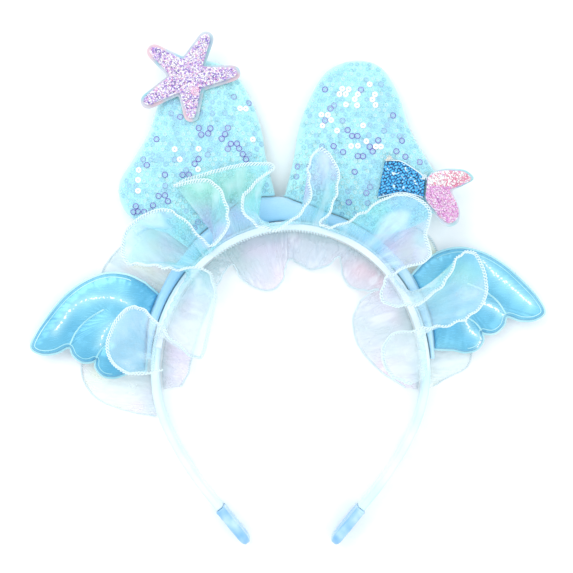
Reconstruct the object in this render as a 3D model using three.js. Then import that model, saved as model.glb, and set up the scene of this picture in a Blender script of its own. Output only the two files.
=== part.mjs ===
import * as THREE from "three";

// A costume headband with two bear ears, wings and ruffles, in millimetres. It lies on its back:
// +X to the right, +Y up the ears, +Z away from the surface it lies on. The origin is on that
// surface, under the crown of the band.

// Fit between pieces
const CLEARANCE = 0.3;
const CLOTH = 1;

// Band
const BAND_HALF_WIDTH = 67.5;
const BAND_RISE = 73;
const SHOULDER_RADIUS = 67.5;
const SHOULDER_TURN = 25;
const CALF_RADIUS = 154;
const LEG_LEAN = 39;
const LEG_LENGTH = 32;
const BAND_THICKNESS = 4;
const BAND_DEPTH = 12;
const BAND_CORNER = 1;

// Blue sleeves on the band's ends
const TIP_LENGTH = 22;
const TIP_THICKNESS = 4.8;
const TIP_DEPTH = 12.6;

// Satin roll on the outside of the band
const CREST_REACH = 104;
const CREST_HEIGHT = 14;
const CREST_INSET = 0.2;

// Ears
const EARS_OFFSET = -5.3;
const EAR_WIDTH = 80;
const EAR_HEIGHT = 82;
const EAR_THICKNESS = 12;
const EAR_FOOT_IN = 2;
const EAR_FOOT_OUT = 44;
const EAR_ROUNDING = 15;

// Starfish, its middle given as shares of the ear's width and height
const STAR_X = -0.566 * EAR_WIDTH;
const STAR_Y = 0.888 * EAR_HEIGHT;
const STAR_REACH = 26;
const STAR_WAIST = 10.2;
const STAR_ARM_RADIUS = 3.9;
const STAR_BORDER = 1.6;
const STAR_THICKNESS = 2.4;
const BACKING_THICKNESS = 0.9;

// Mermaid tail, its left end given as shares of the ear's width and height
const TAIL_X = 0.594 * EAR_WIDTH;
const TAIL_Y = 0.213 * EAR_HEIGHT;
const TAIL_LENGTH = 48;
const TAIL_SPAN = 28;
const TAIL_BORDER = 1.2;
const TAIL_THICKNESS = 2.2;

// Wings
const WING_AT_LEFT = 95;
const WING_AT_RIGHT = 85;
const WING_LENGTH = 62;
const WING_CHORD = 52;
const WING_THICKNESS = 8;
const WING_ROUNDING = 6;

// Ruffles
const RUFFLE_SEAM = 110;
const RUFFLE_WIDTH = 38;
const RUFFLE_BOW = 4.5;
const GATHER_DEPTH = 0.5;
const GATHERS = 34;
const INNER_SEAM = 120;
const INNER_WIDTH = 30;
const BACK_SEAM = 132;
const BACK_WIDTH = 38;
const LOW_LIFT = 12;

// Everything above the floor rests on the flattened back ruffle.
const OVER_BACK_RUFFLE = CLOTH + 2 * CLEARANCE;
const CREST_DEPTH = BAND_DEPTH - OVER_BACK_RUFFLE - CREST_INSET;
const SEAM_LIFT = BAND_DEPTH + CLEARANCE + CLOTH / 2;
const EAR_FRONT = OVER_BACK_RUFFLE + EAR_THICKNESS;
const PATCH_BACK = EAR_FRONT + CLEARANCE;
const PATCH_TOP = PATCH_BACK + BACKING_THICKNESS + CLEARANCE;

const columns = (names, rows) =>
  rows.map((row) => Object.fromEntries(names.map((name, i) => [name, row[i]])));

// The middle line of one arm: a quarter ellipse, two arcs that turn inwards, and a straight leg.
function armPoints() {
  const steps = 48;
  const points = [];
  for (let i = 0; i < steps; i++) {
    const angle = (i / steps) * (Math.PI / 2);
    points.push([BAND_HALF_WIDTH * Math.sin(angle), BAND_RISE * (Math.cos(angle) - 1)]);
  }
  let [x, y] = [BAND_HALF_WIDTH, -BAND_RISE];
  const bend = (radius, from, to) => {
    const at = (turn) => [
      x + radius * (Math.cos(turn) - Math.cos(from)),
      y - radius * (Math.sin(turn) - Math.sin(from)),
    ];
    for (let i = 0; i < steps; i++) points.push(at(from + ((to - from) * i) / steps));
    [x, y] = at(to);
  };
  const turn = THREE.MathUtils.degToRad(SHOULDER_TURN);
  const lean = THREE.MathUtils.degToRad(LEG_LEAN);
  bend(SHOULDER_RADIUS, 0, turn);
  bend(CALF_RADIUS, turn, lean);
  points.push([x, y], [x - LEG_LENGTH * Math.sin(lean), y - LEG_LENGTH * Math.cos(lean)]);
  return points;
}

const ARM = armPoints();
const ARM_LENGTHS = ARM.reduce((sums, [x, y], i) => {
  const step = i ? Math.hypot(x - ARM[i - 1][0], y - ARM[i - 1][1]) : 0;
  return [...sums, (sums[i - 1] ?? 0) + step];
}, []);
const HALF_LENGTH = ARM_LENGTHS.at(-1);

function armAt(length) {
  const reach = THREE.MathUtils.clamp(length, 0, HALF_LENGTH);
  const next = Math.max(1, ARM_LENGTHS.findIndex((sum) => sum >= reach));
  const share = (reach - ARM_LENGTHS[next - 1]) / (ARM_LENGTHS[next] - ARM_LENGTHS[next - 1]);
  const [a, b] = [ARM[next - 1], ARM[next]];
  return [a[0] + (b[0] - a[0]) * share, a[1] + (b[1] - a[1]) * share];
}

// The arm's point at a length from the crown, and its outward normal there.
function frameAt(length) {
  const span = 1.5;
  const before = armAt(length - span);
  const after = armAt(length + span);
  const size = Math.hypot(after[0] - before[0], after[1] - before[1]);
  const normal = length < span ? [0, 1] : [(before[1] - after[1]) / size, (after[0] - before[0]) / size];
  return { point: armAt(length), normal };
}

// A point given by its length along the band from the crown, its distance outwards and its height.
function place(along, out, up) {
  const side = along < 0 ? -1 : 1;
  const { point, normal } = frameAt(Math.abs(along));
  return new THREE.Vector3(side * (point[0] + out * normal[0]), point[1] + out * normal[1], up);
}

function spline(points, closed) {
  return new THREE.CatmullRomCurve3(points, closed, "centripetal");
}

// A closed mesh, turned so that its faces point outwards.
function solid(name, vertices, faces, material) {
  let volume = 0;
  for (const [a, b, c] of faces) {
    volume += vertices[a].dot(vertices[b].clone().cross(vertices[c]));
  }
  const order = volume < 0 ? faces.map(([a, b, c]) => [a, c, b]) : faces;
  const geometry = new THREE.BufferGeometry().setFromPoints(vertices);
  geometry.setIndex(order.flat());
  geometry.computeVertexNormals();
  const mesh = new THREE.Mesh(geometry, material);
  mesh.name = name;
  return mesh;
}

// Rings of equal count joined one to the next, closed at both ends by a fan.
function loft(name, rings, material) {
  const count = rings[0].length;
  const vertices = rings.flat();
  const faces = [];
  for (let i = 0; i + 1 < rings.length; i++) {
    for (let j = 0; j < count; j++) {
      const a = i * count + j;
      const b = i * count + ((j + 1) % count);
      faces.push([a, b, a + count], [b, b + count, a + count]);
    }
  }
  for (const [first, flip] of [[0, false], [(rings.length - 1) * count, true]]) {
    const middle = vertices.length;
    const ring = vertices.slice(first, first + count);
    vertices.push(ring.reduce((sum, p) => sum.add(p), new THREE.Vector3()).divideScalar(count));
    for (let j = 0; j < count; j++) {
      const [a, b] = [first + j, first + ((j + 1) % count)];
      faces.push(flip ? [a, b, middle] : [b, a, middle]);
    }
  }
  return solid(name, vertices, faces, material);
}

// Cross-section of a strip as pairs of outward offset and height, its corners rounded.
function stripSection(thickness, depth, corner) {
  const points = [];
  const corners = [[1, 1], [-1, 1], [-1, -1], [1, -1]];
  corners.forEach(([sideways, upwards], quarter) => {
    for (let i = 0; i < 3; i++) {
      const angle = ((quarter + i / 2) * Math.PI) / 2;
      points.push([
        sideways * (thickness / 2 - corner) + corner * Math.cos(angle),
        depth / 2 + upwards * (depth / 2 - corner) + corner * Math.sin(angle),
      ]);
    }
  });
  return points;
}

// A sheet of cloth of even thickness on a grid of points, surface(u, v) with u and v from 0 to 1.
function cloth(name, surface, columnCount, rowCount, material) {
  const step = 1e-3;
  const normalAt = (u, v) => {
    const [u0, u1] = [Math.max(u - step, 0), Math.min(u + step, 1)];
    const [v0, v1] = [Math.max(v - step, 0), Math.min(v + step, 1)];
    const across = surface(u1, v).sub(surface(u0, v));
    return across.cross(surface(u, v1).sub(surface(u, v0))).normalize();
  };
  const sides = [[], []];
  for (let i = 0; i <= columnCount; i++) {
    for (let j = 0; j <= rowCount; j++) {
      const [u, v] = [i / columnCount, j / rowCount];
      const point = surface(u, v);
      const half = normalAt(u, v).multiplyScalar(CLOTH / 2);
      sides[0].push(point.clone().add(half));
      sides[1].push(point.clone().sub(half));
    }
  }
  const other = sides[0].length;
  const at = (i, j) => i * (rowCount + 1) + j;
  const faces = [];
  const quad = (a, b, c, d) => faces.push([a, b, c], [a, c, d]);
  for (let i = 0; i < columnCount; i++) {
    for (let j = 0; j < rowCount; j++) {
      const [a, b, c, d] = [at(i, j), at(i + 1, j), at(i + 1, j + 1), at(i, j + 1)];
      quad(a, b, c, d);
      quad(d + other, c + other, b + other, a + other);
    }
    quad(at(i + 1, 0), at(i, 0), at(i, 0) + other, at(i + 1, 0) + other);
    quad(at(i, rowCount), at(i + 1, rowCount), at(i + 1, rowCount) + other, at(i, rowCount) + other);
  }
  for (let j = 0; j < rowCount; j++) {
    quad(at(0, j), at(0, j + 1), at(0, j + 1) + other, at(0, j) + other);
    const last = at(columnCount, j);
    quad(last + 1, last, last + other, last + 1 + other);
  }
  return solid(name, sides.flat(), faces, material);
}

function distanceToLines(x, y, lines) {
  let nearest = Infinity;
  for (const [a, b] of lines) {
    const [dx, dy] = [b.x - a.x, b.y - a.y];
    const share = ((x - a.x) * dx + (y - a.y) * dy) / (dx * dx + dy * dy);
    const t = THREE.MathUtils.clamp(share, 0, 1);
    nearest = Math.min(nearest, Math.hypot(x - a.x - t * dx, y - a.y - t * dy));
  }
  return nearest;
}

// A stuffed shape: its outline shrunk in rings towards a middle point. It is thinnest at the
// outline and at the sewn seams, and rounds up to its full thickness away from them.
function pillow(name, outline, middle, seams, size, material) {
  const shares = [1, 0.94, 0.84, 0.69, 0.5, 0.26];
  const edge = outline.map((point, i) => [point, outline[(i + 1) % outline.length]]);
  const half = size.thickness / 2;
  const swell = (x, y, isEdge) => {
    const fromEdge = isEdge ? 0 : distanceToLines(x, y, edge);
    const fromSeam = seams.length ? distanceToLines(x, y, seams) + size.seam : size.rounding;
    const share = Math.min(fromEdge, fromSeam, size.rounding) / size.rounding;
    return half * (size.rim + (1 - size.rim) * Math.sqrt(1 - (1 - share) ** 2));
  };
  const vertices = [];
  const faces = [];
  const count = outline.length;
  for (const side of [1, -1]) {
    const start = vertices.length;
    shares.forEach((share, ring) => {
      for (const point of outline) {
        const x = middle.x + (point.x - middle.x) * share;
        const y = middle.y + (point.y - middle.y) * share;
        vertices.push(new THREE.Vector3(x, y, size.centre + side * swell(x, y, ring === 0)));
      }
    });
    const crown = vertices.length;
    const height = size.centre + side * swell(middle.x, middle.y, false);
    vertices.push(new THREE.Vector3(middle.x, middle.y, height));
    for (let j = 0; j < count; j++) {
      const next = (j + 1) % count;
      const add = (a, b, c) => faces.push(side > 0 ? [a, b, c] : [a, c, b]);
      for (let ring = 0; ring + 1 < shares.length; ring++) {
        const [a, b] = [start + ring * count + j, start + ring * count + next];
        add(a, b, b + count);
        add(a, b + count, a + count);
      }
      const last = start + (shares.length - 1) * count;
      add(last + j, last + next, crown);
    }
  }
  const back = shares.length * count + 1;
  for (let j = 0; j < count; j++) {
    const next = (j + 1) % count;
    faces.push([j, back + j, back + next], [j, back + next, next]);
  }
  return solid(name, vertices, faces, material);
}

// A flat cut piece with a softened edge, its back at the given height.
function patch(name, points, back, thickness, material) {
  const soft = Math.min(0.3, thickness / 3);
  const geometry = new THREE.ExtrudeGeometry(new THREE.Shape(points), {
    depth: thickness - 2 * soft,
    bevelEnabled: true,
    bevelThickness: soft,
    bevelSize: soft,
    bevelOffset: -soft,
    bevelSegments: 1,
    curveSegments: 1,
  });
  geometry.translate(0, 0, back + soft);
  const mesh = new THREE.Mesh(geometry, material);
  mesh.name = name;
  return mesh;
}

const paint = (color, roughness, metalness = 0) =>
  new THREE.MeshStandardMaterial({ color, roughness, metalness });
const PALE_SATIN = paint("#d3ecf8", 0.4);
const BLUE_SATIN = paint("#9ed2f4", 0.35);
const CREST_SATIN = paint("#86cdf2", 0.35);
const EAR_SEQUINS = paint("#a8eaf2", 0.3, 0.1);
const WING_SATIN = paint("#7ccbef", 0.28, 0.3);
const ORGANZA = paint("#dff4f8", 0.3);
const PALE_TEAL = paint("#bfe9ea", 0.35);
const LILAC_GLITTER = paint("#cfa4f0", 0.5, 0.2);
const BLUE_SCALES = paint("#3e95d6", 0.4, 0.2);
const PINK_GLITTER = paint("#ee82c4", 0.5, 0.2);

function makeBand() {
  const end = HALF_LENGTH - TIP_LENGTH - CLEARANCE;
  const steps = 50;
  const section = stripSection(BAND_THICKNESS, BAND_DEPTH, BAND_CORNER);
  const rings = Array.from({ length: steps + 1 }, (_, i) => {
    const along = end * ((2 * i) / steps - 1);
    return section.map(([out, up]) => place(along, out, up));
  });
  return loft("band", rings, PALE_SATIN);
}

// The sleeve narrows over its last stretch to a rounded end.
function makeTip(name, side) {
  const section = stripSection(TIP_THICKNESS, TIP_DEPTH, BAND_CORNER);
  const round = TIP_THICKNESS / TIP_LENGTH;
  const shares = [0, 0.25, 0.5, 1 - round, 1 - round / 2, 1 - round / 6, 1];
  const rings = shares.map((share) => {
    const along = side * (HALF_LENGTH - TIP_LENGTH * (1 - share));
    const into = Math.max(0, (share - 1 + round) / round);
    const size = 0.45 + 0.55 * Math.sqrt(1 - into * into);
    return section.map(([out, up]) =>
      place(along, out * size, TIP_DEPTH / 2 + (up - TIP_DEPTH / 2) * size));
  });
  return loft(name, rings, BLUE_SATIN);
}

// along: share of the roll's reach; height: share of its full height
const CREST_PROFILE = columns(["along", "height"], [
  [-1, 0.16],
  [-0.78, 0.34],
  [-0.55, 0.45],
  [-0.34, 0.62],
  [-0.17, 0.98],
  [-0.05, 0.88],
  [0.06, 0.62],
  [0.16, 0.46],
  [0.35, 0.42],
  [0.55, 0.4],
  [0.78, 0.3],
  [1, 0.16],
]);
const CREST_FOOT = BAND_THICKNESS / 2 + CLEARANCE;

function crestHeight(along) {
  const share = THREE.MathUtils.clamp(along / CREST_REACH, -1, 1);
  const next = Math.max(1, CREST_PROFILE.findIndex((row) => row.along >= share));
  const [a, b] = [CREST_PROFILE[next - 1], CREST_PROFILE[next]];
  const t = THREE.MathUtils.smoothstep(share, a.along, b.along);
  return CREST_HEIGHT * THREE.MathUtils.lerp(a.height, b.height, t);
}

const crestTop = (along) => CREST_FOOT + crestHeight(along);

function makeCrest() {
  const steps = 36;
  const sides = 10;
  const rings = Array.from({ length: steps + 1 }, (_, i) => {
    const along = CREST_REACH * ((2 * i) / steps - 1);
    const height = crestHeight(along);
    return Array.from({ length: sides }, (__, j) => {
      const angle = ((j + 0.5) / sides) * 2 * Math.PI;
      const round = (value) => Math.sign(value) * Math.abs(value) ** 0.7;
      const out = CREST_FOOT + (height / 2) * (1 + round(Math.cos(angle)));
      return place(along, out, OVER_BACK_RUFFLE + (CREST_DEPTH / 2) * (1 + round(Math.sin(angle))));
    });
  });
  return loft("crest", rings, CREST_SATIN);
}

// Outline of an ear from its inner foot over the top to its outer foot.
// across: share of the ear's width from the middle of the pair; up: share of its height
const EAR_OUTLINE = columns(["across", "up"], [
  [0.03, 0.185],
  [0.085, 0.4],
  [0.115, 0.575],
  [0.185, 0.77],
  [0.3, 0.94],
  [0.47, 1],
  [0.62, 0.965],
  [0.725, 0.82],
  [0.81, 0.58],
  [0.92, 0.39],
  [0.995, 0.27],
  [1, 0.17],
  [0.955, 0.075],
  [0.86, 0.005],
  [0.7, -0.05],
]);

function earOutline(side) {
  const edge = EAR_OUTLINE.map(({ across, up }) =>
    new THREE.Vector3(EARS_OFFSET + side * across * EAR_WIDTH, up * EAR_HEIGHT, 0));
  const shape = spline(edge, false).getSpacedPoints(28);
  const foot = Array.from({ length: 7 }, (_, i) => {
    const from = THREE.MathUtils.lerp(EAR_FOOT_OUT, EAR_FOOT_IN, i / 6);
    const along = side * from + EARS_OFFSET;
    return place(along, crestTop(along) + CLEARANCE, 0);
  });
  return [...shape, ...foot];
}

function makeEar(name, side) {
  const middle = new THREE.Vector3(EARS_OFFSET + side * 0.52 * EAR_WIDTH, 0.44 * EAR_HEIGHT, 0);
  const size = {
    thickness: EAR_THICKNESS,
    centre: OVER_BACK_RUFFLE + EAR_THICKNESS / 2,
    rounding: EAR_ROUNDING,
    rim: 0.16,
    seam: 0,
  };
  return pillow(name, earOutline(side), middle, [], size, EAR_SEQUINS);
}

// bearing: degrees from the right, turning left; reach: share of the longest arm
const STAR_ARMS = columns(["bearing", "reach"], [
  [5, 1],
  [65, 0.95],
  [143, 0.95],
  [211, 1.03],
  [275, 0.86],
]);

function starOutline(inset) {
  const centre = new THREE.Vector2(EARS_OFFSET + STAR_X, STAR_Y);
  const toward = (degrees, radius) => {
    const angle = THREE.MathUtils.degToRad(degrees);
    return new THREE.Vector2(Math.cos(angle), Math.sin(angle)).multiplyScalar(radius);
  };
  const tip = STAR_ARM_RADIUS - inset;
  return STAR_ARMS.flatMap(({ bearing, reach }, i) => {
    const next = STAR_ARMS[(i + 1) % STAR_ARMS.length].bearing + (i + 1 === STAR_ARMS.length ? 360 : 0);
    const heart = centre.clone().add(toward(bearing, reach * STAR_REACH - STAR_ARM_RADIUS));
    const end = [-90, -50, -15, 15, 50, 90].map((turn) =>
      heart.clone().add(toward(bearing + turn, tip)));
    const notch = centre.clone().add(toward((bearing + next) / 2, STAR_WAIST - inset));
    return [...end, notch];
  });
}

function makeStar() {
  return [
    patch("star_backing", starOutline(0), PATCH_BACK, BACKING_THICKNESS, PALE_TEAL),
    patch("star_glitter", starOutline(STAR_BORDER), PATCH_TOP, STAR_THICKNESS, LILAC_GLITTER),
  ];
}

// The tail's cut pieces, as shares of its length to the right and of its span upwards.
const TAIL_BODY = columns(["across", "up"], [
  [0.09, 0.5],
  [0.25, 0.49],
  [0.38, 0.36],
  [0.505, 0.205],
  [0.497, 0.03],
  [0.486, -0.145],
  [0.25, -0.06],
  [0.01, -0.15],
]);
// The first three rows are the fin's root, which meets the body.
const TAIL_FIN = columns(["across", "up"], [
  [0.503, -0.155],
  [0.516, 0.03],
  [0.524, 0.2],
  [0.58, 0.3],
  [0.69, 0.355],
  [0.82, 0.36],
  [0.93, 0.325],
  [1.005, 0.19],
  [0.89, 0.06],
  [0.79, -0.03],
  [0.83, -0.22],
  [0.865, -0.42],
  [0.84, -0.59],
  [0.75, -0.66],
  [0.66, -0.57],
  [0.56, -0.35],
]);
const FIN_ROOT_ROWS = 3;

function tailPoints(rows, grow) {
  const middle = rows.reduce((sum, row) => sum + row.up, 0) / rows.length;
  const centre = rows.reduce((sum, row) => sum + row.across, 0) / rows.length;
  return rows.map(({ across, up }, i) => {
    const offset = new THREE.Vector2((across - centre) * TAIL_LENGTH, (up - middle) * TAIL_SPAN);
    offset.setLength(offset.length() + (i < FIN_ROOT_ROWS ? 0 : grow));
    return new THREE.Vector2(
      EARS_OFFSET + TAIL_X + centre * TAIL_LENGTH + offset.x,
      TAIL_Y + middle * TAIL_SPAN + offset.y,
    );
  });
}

function roundedOutline(points, count) {
  const curve = new THREE.SplineCurve([...points, points[0]]);
  return curve.getPoints(count).slice(0, -1);
}

function makeTail() {
  const finEdge = roundedOutline(tailPoints(TAIL_FIN, 0), 36);
  const finTop = roundedOutline(tailPoints(TAIL_FIN, -TAIL_BORDER), 36);
  const bodyTop = roundedOutline(tailPoints(TAIL_BODY, 0), 24);
  return [
    patch("tail_backing", finEdge, PATCH_BACK, BACKING_THICKNESS, PALE_TEAL),
    patch("tail_fin", finTop, PATCH_TOP, TAIL_THICKNESS, PINK_GLITTER),
    patch("tail_body", bodyTop, PATCH_BACK, TAIL_THICKNESS, BLUE_SCALES),
  ];
}

// Outline of a wing from the top of its root over the leading edge and round three feathers.
// down: share of the wing's chord along the band; out: share of its length away from the band
const WING_OUTLINE = columns(["down", "out"], [
  [-0.52, 0.2],
  [-0.56, 0.34],
  [-0.54, 0.5],
  [-0.44, 0.65],
  [-0.28, 0.78],
  [-0.08, 0.88],
  [0.16, 0.97],
  [0.3, 0.985],
  [0.335, 0.9],
  [0.3, 0.79],
  [0.22, 0.69],
  [0.29, 0.645],
  [0.335, 0.56],
  [0.31, 0.485],
  [0.28, 0.46],
  [0.36, 0.45],
  [0.425, 0.38],
  [0.42, 0.29],
  [0.36, 0.2],
]);
// The two sewn lines between the feathers, in straight steps from each notch inwards.
const WING_SEAMS = columns(["fromDown", "fromOut", "toDown", "toOut"], [
  [0.22, 0.69, 0.06, 0.655],
  [0.06, 0.655, -0.08, 0.58],
  [-0.08, 0.58, -0.2, 0.47],
  [0.28, 0.46, 0.19, 0.435],
  [0.19, 0.435, 0.09, 0.37],
]);

function makeWing(name, side, at) {
  const { point, normal } = frameAt(at);
  const spot = (down, out) => {
    const [sideways, upwards] = [down * WING_CHORD, out * WING_LENGTH];
    const x = point[0] + normal[0] * upwards + normal[1] * sideways;
    const y = point[1] + normal[1] * upwards - normal[0] * sideways;
    return new THREE.Vector3(side * x, y, 0);
  };
  const edge = WING_OUTLINE.map(({ down, out }) => spot(down, out));
  const shape = spline(edge, false).getPoints(32);
  const root = Array.from({ length: 5 }, (_, i) => {
    const along = at + WING_CHORD * THREE.MathUtils.lerp(0.28, -0.4, i / 4);
    return place(side * along, crestTop(side * along) + CLEARANCE, 0);
  });
  const seams = WING_SEAMS.map((row) => [
    spot(row.fromDown, row.fromOut),
    spot(row.toDown, row.toOut),
  ]);
  const size = {
    thickness: WING_THICKNESS,
    centre: OVER_BACK_RUFFLE + LOW_LIFT / 6 + WING_THICKNESS / 2,
    rounding: WING_ROUNDING,
    rim: 0.22,
    seam: 0.8,
  };
  return pillow(name, [...shape, ...root], spot(-0.15, 0.36), seams, size, WING_SATIN);
}

// Each row is one turn of a ruffle's hem.
// sewn: share of the seam where its cloth is gathered; along: share of the seam where the hem lies;
// out and up: the hem's distance from the seam, outwards and towards the viewer, as shares of width
const FOLD = ["sewn", "along", "out", "up"];
const LEFT_WING_FOLDS = columns(FOLD, [
  [-1, -0.99, -0.13, 0.26],
  [-0.97, -1, 0.32, 0.26],
  [-0.94, -0.93, 0.6, 0.16],
  [-0.91, -0.8, 0.53, 0.24],
  [-0.885, -0.745, 0.34, 0.45],
  [-0.86, -0.765, 0.03, 0.66],
  [-0.83, -0.84, -0.29, 0.6],
  [-0.79, -0.9, -0.6, 0.28],
  [-0.68, -0.66, -0.58, 0.2],
  [-0.59, -0.5, -0.42, 0.26],
]);
const LEFT_EAR_FOLDS = columns(FOLD, [
  [-0.545, -0.45, -0.14, 0.5],
  [-0.52, -0.53, 0.1, 0.56],
  [-0.5, -0.59, 0.48, 0.36],
  [-0.48, -0.62, 0.74, 0.18],
  [-0.455, -0.545, 0.97, 0.13],
  [-0.43, -0.42, 0.8, 0.26],
  [-0.415, -0.385, 0.44, 0.38],
  [-0.4, -0.365, 0.06, 0.52],
  [-0.385, -0.28, 0.08, 0.66],
  [-0.37, -0.235, 0.38, 0.56],
  [-0.35, -0.255, 0.78, 0.34],
  [-0.325, -0.35, 0.96, 0.2],
]);
const CROWN_FOLDS = columns(FOLD, [
  [-0.25, -0.23, 0.88, 0.15],
  [-0.2, -0.12, 0.83, 0.17],
  [-0.16, -0.055, 0.75, 0.26],
  [-0.115, -0.18, 0.34, 0.6],
  [-0.09, -0.15, 0.03, 0.72],
  [-0.045, -0.055, -0.08, 0.73],
  [0.015, 0.06, 0.22, 0.62],
  [0.055, 0.055, 0.8, 0.22],
  [0.08, 0.085, 1, 0.14],
  [0.115, 0.14, 0.78, 0.26],
  [0.15, 0.155, 0.25, 0.62],
  [0.18, 0.13, 0, 0.73],
]);
const RIGHT_EAR_FOLDS = columns(FOLD, [
  [0.22, 0.2, 0.06, 0.66],
  [0.265, 0.275, 0.38, 0.46],
  [0.31, 0.33, 0.75, 0.22],
  [0.355, 0.385, 0.9, 0.18],
  [0.395, 0.445, 0.9, 0.18],
  [0.43, 0.49, 0.63, 0.34],
  [0.455, 0.555, 0.46, 0.52],
  [0.485, 0.535, 0.18, 0.68],
  [0.52, 0.515, -0.17, 0.68],
  [0.56, 0.6, -0.34, 0.62],
]);
const RIGHT_WING_FOLDS = columns(FOLD, [
  [0.6, 0.68, -0.04, 0.64],
  [0.635, 0.665, 0.4, 0.5],
  [0.665, 0.61, 0.84, 0.24],
  [0.7, 0.635, 1.02, 0.14],
  [0.74, 0.74, 0.95, 0.18],
  [0.775, 0.79, 0.72, 0.34],
  [0.81, 0.81, 0.32, 0.54],
  [0.84, 0.79, -0.1, 0.66],
  [0.875, 0.79, -0.46, 0.5],
  [0.92, 0.9, -0.58, 0.3],
  [0.965, 1.02, -0.46, 0.16],
  [1, 1.06, -0.2, 0.08],
]);
const FRONT_FOLDS = [
  ...LEFT_WING_FOLDS,
  ...LEFT_EAR_FOLDS,
  ...CROWN_FOLDS,
  ...RIGHT_EAR_FOLDS,
  ...RIGHT_WING_FOLDS,
];
const INNER_FOLDS = columns(FOLD, [
  [-1, -1, 0.3, 0.1],
  [-0.92, -0.93, 0.45, 0.55],
  [-0.8, -0.81, 0.5, 0.1],
  [-0.68, -0.68, 0.52, 0.55],
  [-0.56, -0.55, 0.48, 0.1],
  [-0.44, -0.42, 0.36, 0.6],
  [-0.35, -0.31, 0.26, 0.2],
  [-0.29, -0.305, 0.6, 0.1],
  [-0.23, -0.235, 0.86, 0.2],
  [-0.15, -0.14, 0.93, 0.45],
  [-0.07, -0.06, 0.82, 0.6],
  [-0.01, -0.01, 0.48, 0.4],
  [0.04, 0.04, 0.52, 0.1],
  [0.12, 0.125, 0.6, 0.1],
  [0.2, 0.22, 0.42, 0.45],
  [0.26, 0.25, 0.24, 0.6],
  [0.31, 0.3, 0.42, 0.2],
  [0.38, 0.38, 0.54, 0.1],
  [0.45, 0.465, 0.4, 0.4],
  [0.51, 0.5, 0.24, 0.6],
  [0.55, 0.485, 0.5, 0.3],
  [0.6, 0.54, 0.82, 0.1],
  [0.68, 0.66, 0.96, 0.3],
  [0.79, 0.79, 0.92, 0.5],
  [0.92, 0.93, 0.62, 0.2],
  [1, 1, 0.22, 0.1],
]);
const BACK_FOLDS = columns(FOLD, [
  [-1, -1, 0.04, 0],
  [-0.975, -0.95, 0.45, 0.1],
  [-0.94, -0.9, 0.78, 0.3],
  [-0.88, -0.84, 0.92, 0],
  [-0.8, -0.76, 0.84, 0.5],
  [-0.7, -0.68, 0.78, 0],
  [-0.62, -0.61, 0.86, 0.5],
  [-0.56, -0.57, 0.94, 0.1],
  [-0.51, -0.51, 0.9, 0.4],
  [-0.44, -0.44, 0.8, 0],
  [-0.32, -0.33, 0.6, 0],
  [-0.16, -0.17, 0.46, 0],
  [0, 0, 0.22, 0],
  [0.16, 0.15, 0.34, 0],
  [0.3, 0.29, 0.5, 0],
  [0.4, 0.43, 0.64, 0],
  [0.47, 0.475, 0.6, 0.3],
  [0.56, 0.56, 0.64, 0],
  [0.67, 0.66, 0.6, 0.5],
  [0.76, 0.76, 0.58, 0],
  [0.82, 0.82, 0.5, 0.3],
  [0.86, 0.86, 0.22, 0],
  [0.9, 0.89, 0.06, 0],
]);

// The sheet between a seam along the band and a hem that runs through the turns in the table.
// It bows between them and is drawn into small gathers at the seam.
function ruffleSurface(folds, ruffle) {
  const hem = spline(folds.map((row) =>
    new THREE.Vector3(row.along * ruffle.seam, row.out * ruffle.width, row.up * ruffle.lift)), false);
  const sewn = spline(folds.map((row) => new THREE.Vector3(row.sewn * ruffle.seam, 0, 0)), false);
  return (u, v) => {
    const end = hem.getPoint(u);
    const start = sewn.getPoint(u).x;
    const bow = ruffle.bow * Math.sin(Math.PI * v);
    const gather = GATHER_DEPTH * (1 - v) * Math.cos(2 * Math.PI * ruffle.gathers * u);
    const out = end.y * v + ruffle.lean * bow;
    const rise = ruffle.rise * Math.sin((Math.PI / 2) * v);
    const up = end.z * v + rise + (1 - ruffle.lean) * bow + ruffle.gather * (gather + GATHER_DEPTH);
    return place(THREE.MathUtils.lerp(start, end.x, v), ruffle.from + ruffle.side * out, ruffle.floor + up);
  };
}

// How much the front ruffle's low folds are raised, beyond their own lift, to clear the tail patch.
function frontRise() {
  const lowest = Math.min(...FRONT_FOLDS.filter((row) => row.out > 0.7).map((row) => row.up));
  const under = PATCH_TOP + TAIL_THICKNESS + CLEARANCE + CLOTH / 2;
  return Math.max(0, under - SEAM_LIFT - lowest * RUFFLE_WIDTH);
}

function makeRuffles() {
  const front = ruffleSurface(FRONT_FOLDS, {
    seam: RUFFLE_SEAM,
    width: RUFFLE_WIDTH,
    lift: RUFFLE_WIDTH,
    rise: frontRise(),
    bow: RUFFLE_BOW,
    lean: 0.4,
    side: 1,
    from: 0,
    floor: SEAM_LIFT,
    gathers: GATHERS,
    gather: 1,
  });
  const inner = ruffleSurface(INNER_FOLDS, {
    seam: INNER_SEAM,
    width: INNER_WIDTH,
    lift: LOW_LIFT,
    rise: 0,
    bow: 0,
    lean: 0,
    side: -1,
    from: -(BAND_THICKNESS / 2 + CLEARANCE + CLOTH / 2),
    floor: CLOTH,
    gathers: GATHERS,
    gather: 1,
  });
  const back = ruffleSurface(BACK_FOLDS, {
    seam: BACK_SEAM,
    width: BACK_WIDTH,
    lift: LOW_LIFT / 5,
    rise: 0,
    bow: 0,
    lean: 0,
    side: 1,
    from: CREST_FOOT + CLOTH / 2,
    floor: CLOTH / 2 + CLEARANCE / 3,
    gathers: GATHERS,
    gather: 0,
  });
  return [
    cloth("ruffle_front", front, 144, 4, ORGANZA),
    cloth("ruffle_inner", inner, 3 * (INNER_FOLDS.length - 1), 3, ORGANZA),
    cloth("ruffle_back", back, 3 * (BACK_FOLDS.length - 1), 3, ORGANZA),
  ];
}

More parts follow.
